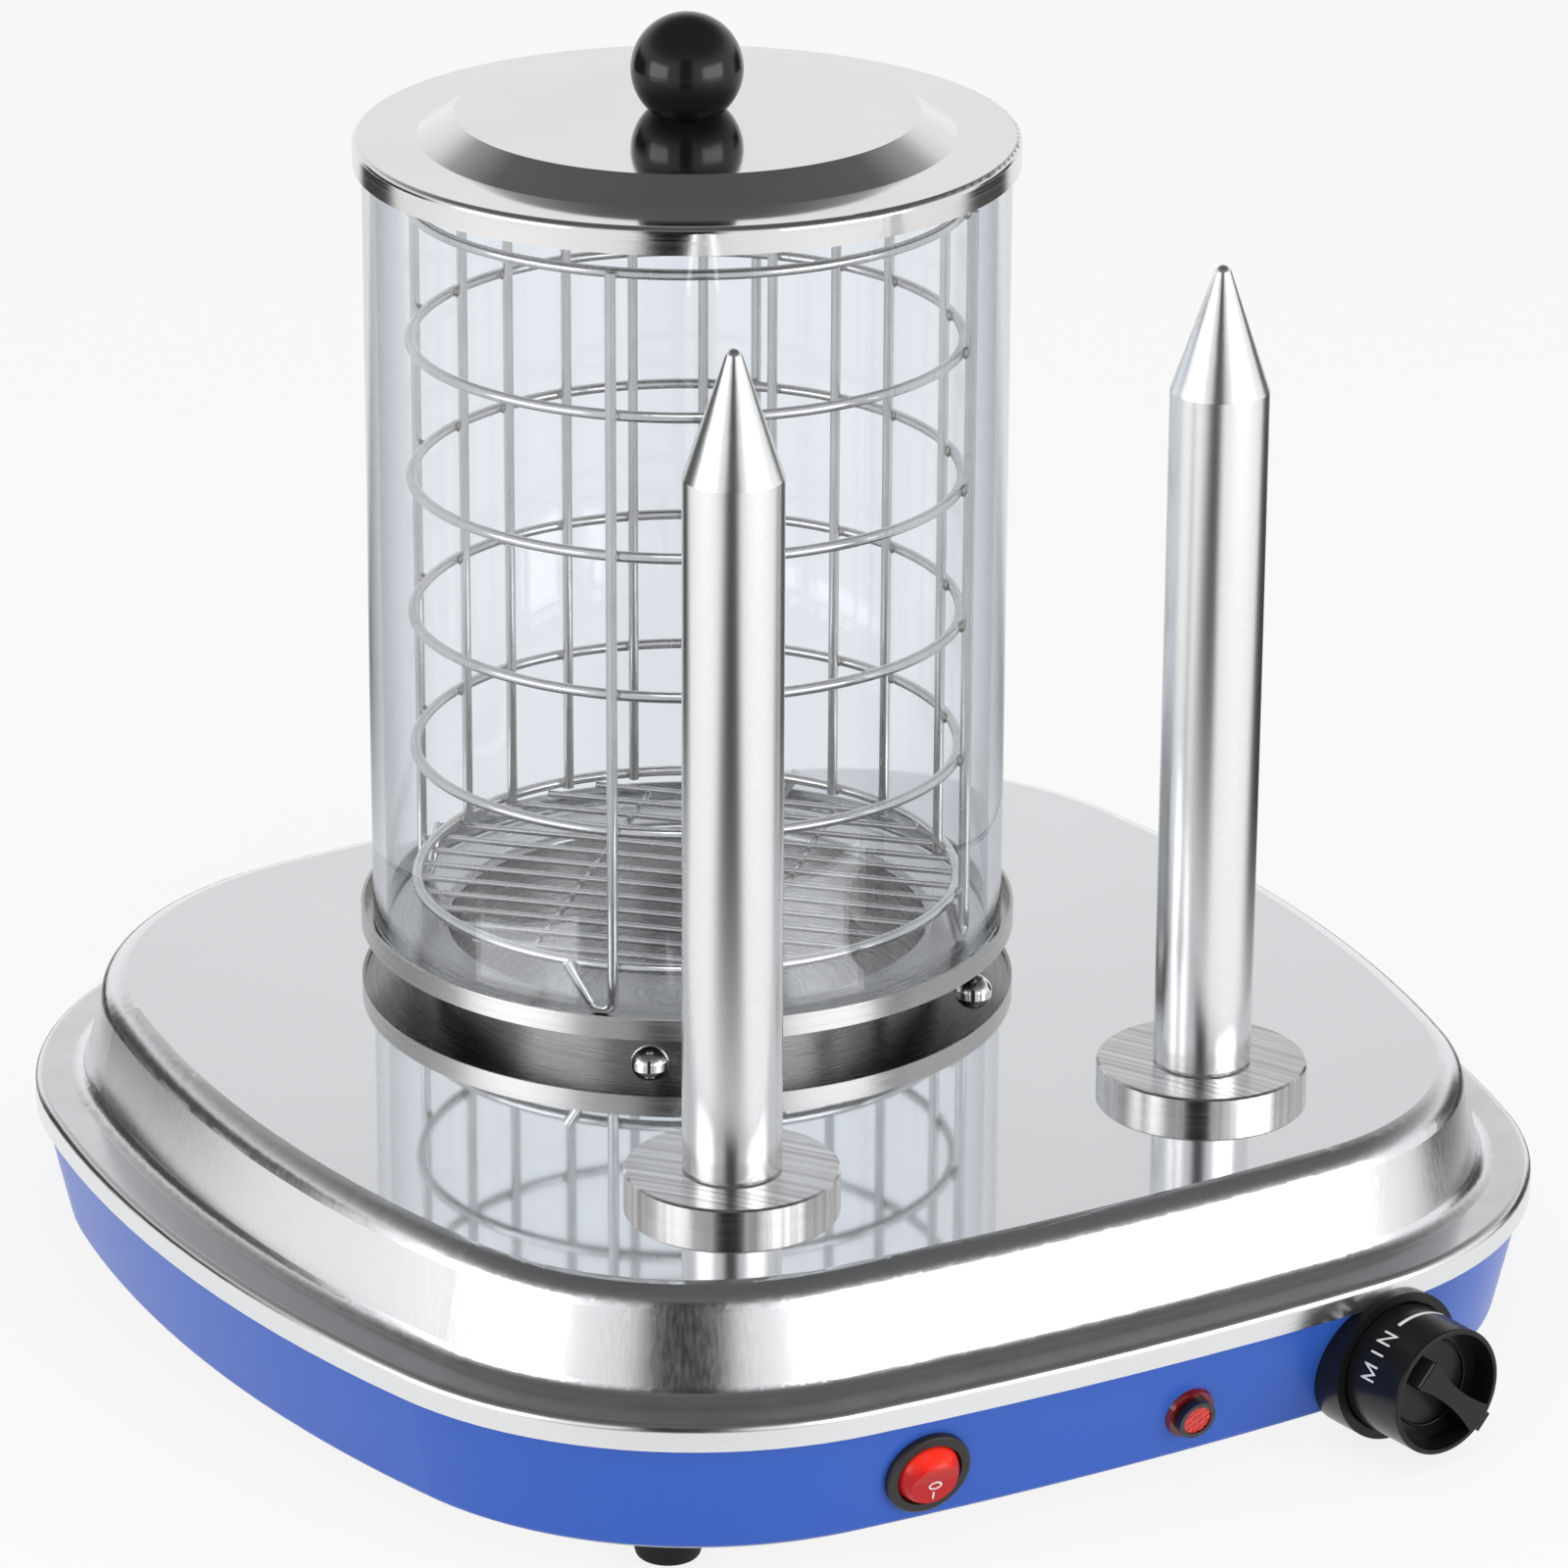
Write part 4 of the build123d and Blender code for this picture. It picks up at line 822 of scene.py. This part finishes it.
def letter(centre_degrees, wide, strokes):
    """Strokes in a unit square, laid on the barrel and read with the collar above."""
    middle = math.radians(centre_degrees) * barrel_r * 1000
    paths = [[(middle - (x - 0.5) * wide, letter_top - y * letter_tall) for x, y in stroke]
             for stroke in strokes]
    return [(divide(path, 0.5), False) for path in paths]


letters = (letter(161, 4.1, [[(0, 0), (0, 1), (0.5, 0.1), (1, 1), (1, 0)]])
           + letter(143.5, 1.0, [[(0.5, 0), (0.5, 1)]])
           + letter(128, 3.4, [[(0, 0), (0, 1), (1, 0), (1, 1)]]))
printed("knob_letters", letters, 0.62, on_barrel, "knob", white_print)

line_depth = 16.5
line_ends = [(math.radians(angle) * barrel_r * 1000, line_depth) for angle in (112, 60)]
printed("knob_line", [(divide(line_ends, 0.8), False)], 1.2, on_barrel, "knob", white_print)

# %% [markdown]
# The end of the knob is hollow. A low rib runs round the floor of the hollow, and the grip bar
# starts with a ramp, so that a thumb slides up onto it. Both are moulded in one with the knob.

# %% Rib and ramp in the knob's hollow
bar_turn = math.radians(-43.0)
bar_along = knob_across * math.cos(bar_turn) + up * math.sin(bar_turn)
bar_side = up * math.cos(bar_turn) - knob_across * math.sin(bar_turn)
knob_length_mm = 30.0
rib_steps = 72
hollow_floor = -8.05
# The rib's section, as radius and depth, and the ramp's outline, as place along the bar, half
# width and depth. Depths are from the knob's end face.
rib_section = [(12.2, hollow_floor), (12.3, -7.35), (12.7, -7.05), (13.1, -7.35),
               (13.2, hollow_floor)]
ramp_outline = [(-10.1, 4.3, -0.15), (-11.0, 4.3, -0.6), (-15.2, 3.4, hollow_floor),
                (-10.1, 4.3, hollow_floor)]


def in_hollow(along, side, out):
    """A spot in millimetres along and across the grip bar, and out from the knob's end face."""
    depth = knob_length_mm + out
    return knob_centre + (bar_along * along + bar_side * side + knob_axis * depth) / 1000


rib_mesh = bmesh.new()
rib_loops = []
for i in range(rib_steps):
    turn = math.tau * i / rib_steps
    rib_loops.append([rib_mesh.verts.new(in_hollow(r * math.cos(turn), r * math.sin(turn), out))
                      for r, out in rib_section])
for i, loop in enumerate(rib_loops):
    following = rib_loops[(i + 1) % rib_steps]
    for k in range(len(loop)):
        j = (k + 1) % len(loop)
        rib_mesh.faces.new((loop[k], loop[j], following[j], following[k]))

near, far = ([rib_mesh.verts.new(in_hollow(along, sign * half, out))
              for along, half, out in ramp_outline] for sign in (1, -1))
rib_mesh.faces.new(near)
rib_mesh.faces.new(list(reversed(far)))
for k in range(len(near)):
    j = (k + 1) % len(near)
    rib_mesh.faces.new((near[j], near[k], far[k], far[j]))
bmesh.ops.recalc_face_normals(rib_mesh, faces=rib_mesh.faces)
hollow_mesh = bpy.data.meshes.new("knob_hollow")
rib_mesh.to_mesh(hollow_mesh)
rib_mesh.free()
hollow_mesh.materials.append(black_knob)
hollow = bpy.data.objects.new("knob_hollow", hollow_mesh)
bpy.context.scene.collection.objects.link(hollow)
soft_edges = hollow.modifiers.new("soft_edges", "BEVEL")
soft_edges.width = 0.0003
soft_edges.segments = 2
soft_edges.limit_method = "ANGLE"
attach(hollow, "knob")
print("rib and ramp:", len(hollow_mesh.polygons), "faces")

# %% Ring and bar on the rocker
wall_run, wall_rise = 7.6, 34.0
face_tilt = 5.0
face_reach = 0.0064
print_lift = 0.00005
wall_lean = math.atan(wall_run / wall_rise)
rocker_pivot = Vector(joints["rocker_turn"]["pos_m"])
rocker_across = Vector(joints["rocker_turn"]["axis"]).normalized()
wall_out = (Vector((rocker_across.y, -rocker_across.x, 0)) * math.cos(wall_lean)
            - up * math.sin(wall_lean))
face_out = Matrix.Rotation(math.radians(face_tilt), 3, rocker_across) @ wall_out
face_up = face_out.cross(rocker_across)
face_centre = rocker_pivot + wall_out * face_reach


def on_rocker(across_mm, up_mm):
    """A spot on the lower face of the rocker."""
    on_face = (rocker_across * across_mm + face_up * up_mm) / 1000
    return face_centre + on_face + face_out * print_lift


ring_steps = 28
ring_turns = [math.tau * i / ring_steps for i in range(ring_steps)]
ring = [(0.3 + 1.8 * math.cos(turn), -1.35 + 1.15 * math.sin(turn)) for turn in ring_turns]
bar = [(0.2, -3.7), (0.35, -6.2)]
printed("rocker_marks", [(ring, True), (bar, False)], 0.55, on_rocker, "rocker", white_print)


# %% [markdown]
# ## Weld beads
# Each crossing of a ring with an upright or a leg is a spot weld: a small flat bead of melted
# steel between the two wires. All the beads are one mesh, made of squashed balls.

# %% Beads at the crossings
bead_size = 0.00165
bead_squash = (0.75, 1.15, 1.15, 1)
inside_rings, outside_rings = 0.0799, 0.0831
bottom_ring, ring_gap = 0.1061, 0.0423


def bead(mesh, angle, radius, height):
    """One squashed ball between two wires."""
    turn = math.radians(angle)
    spot = Vector((glass_axis.x + radius * math.cos(turn), glass_axis.y + radius * math.sin(turn),
                   height))
    turned = Matrix.Translation(spot) @ Matrix.Rotation(turn, 4, "Z")
    bmesh.ops.create_icosphere(mesh, subdivisions=2, radius=bead_size,
                               matrix=turned @ Matrix.Diagonal(bead_squash))


ring_heights = [bottom_ring + ring_gap * level for level in range(6)]
upright_angles = [9 + 16 * i for i in range(8)] + [-18]
leg_angles = [-44 + 90 * i for i in range(4)]
bead_mesh = bmesh.new()
for level in ring_heights:
    for angle in upright_angles:
        bead(bead_mesh, angle, inside_rings, level)
    for angle in leg_angles:
        bead(bead_mesh, angle, outside_rings, level)
for face in bead_mesh.faces:
    face.smooth = True
weld_mesh = bpy.data.meshes.new("weld_beads")
bead_mesh.to_mesh(weld_mesh)
bead_mesh.free()
weld_steel = finish("weld_steel", (0.45, 0.43, 0.41), 0.35, metallic=1.0)
weld_marks = add_group(weld_steel, blotch_group, Patch_Scale=400.0)
tint(weld_steel, weld_marks.outputs["Patches"], (0.55, 0.53, 0.50), (0.28, 0.25, 0.22))
weld_mesh.materials.append(weld_steel)
welds = bpy.data.objects.new("weld_beads", weld_mesh)
bpy.context.scene.collection.objects.link(welds)
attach(welds, "basket")
print("weld faces:", len(weld_mesh.polygons))

# %% Settings
bpy.context.scene.view_settings.view_transform = "Standard"
print("view transform:", bpy.context.scene.view_settings.view_transform)
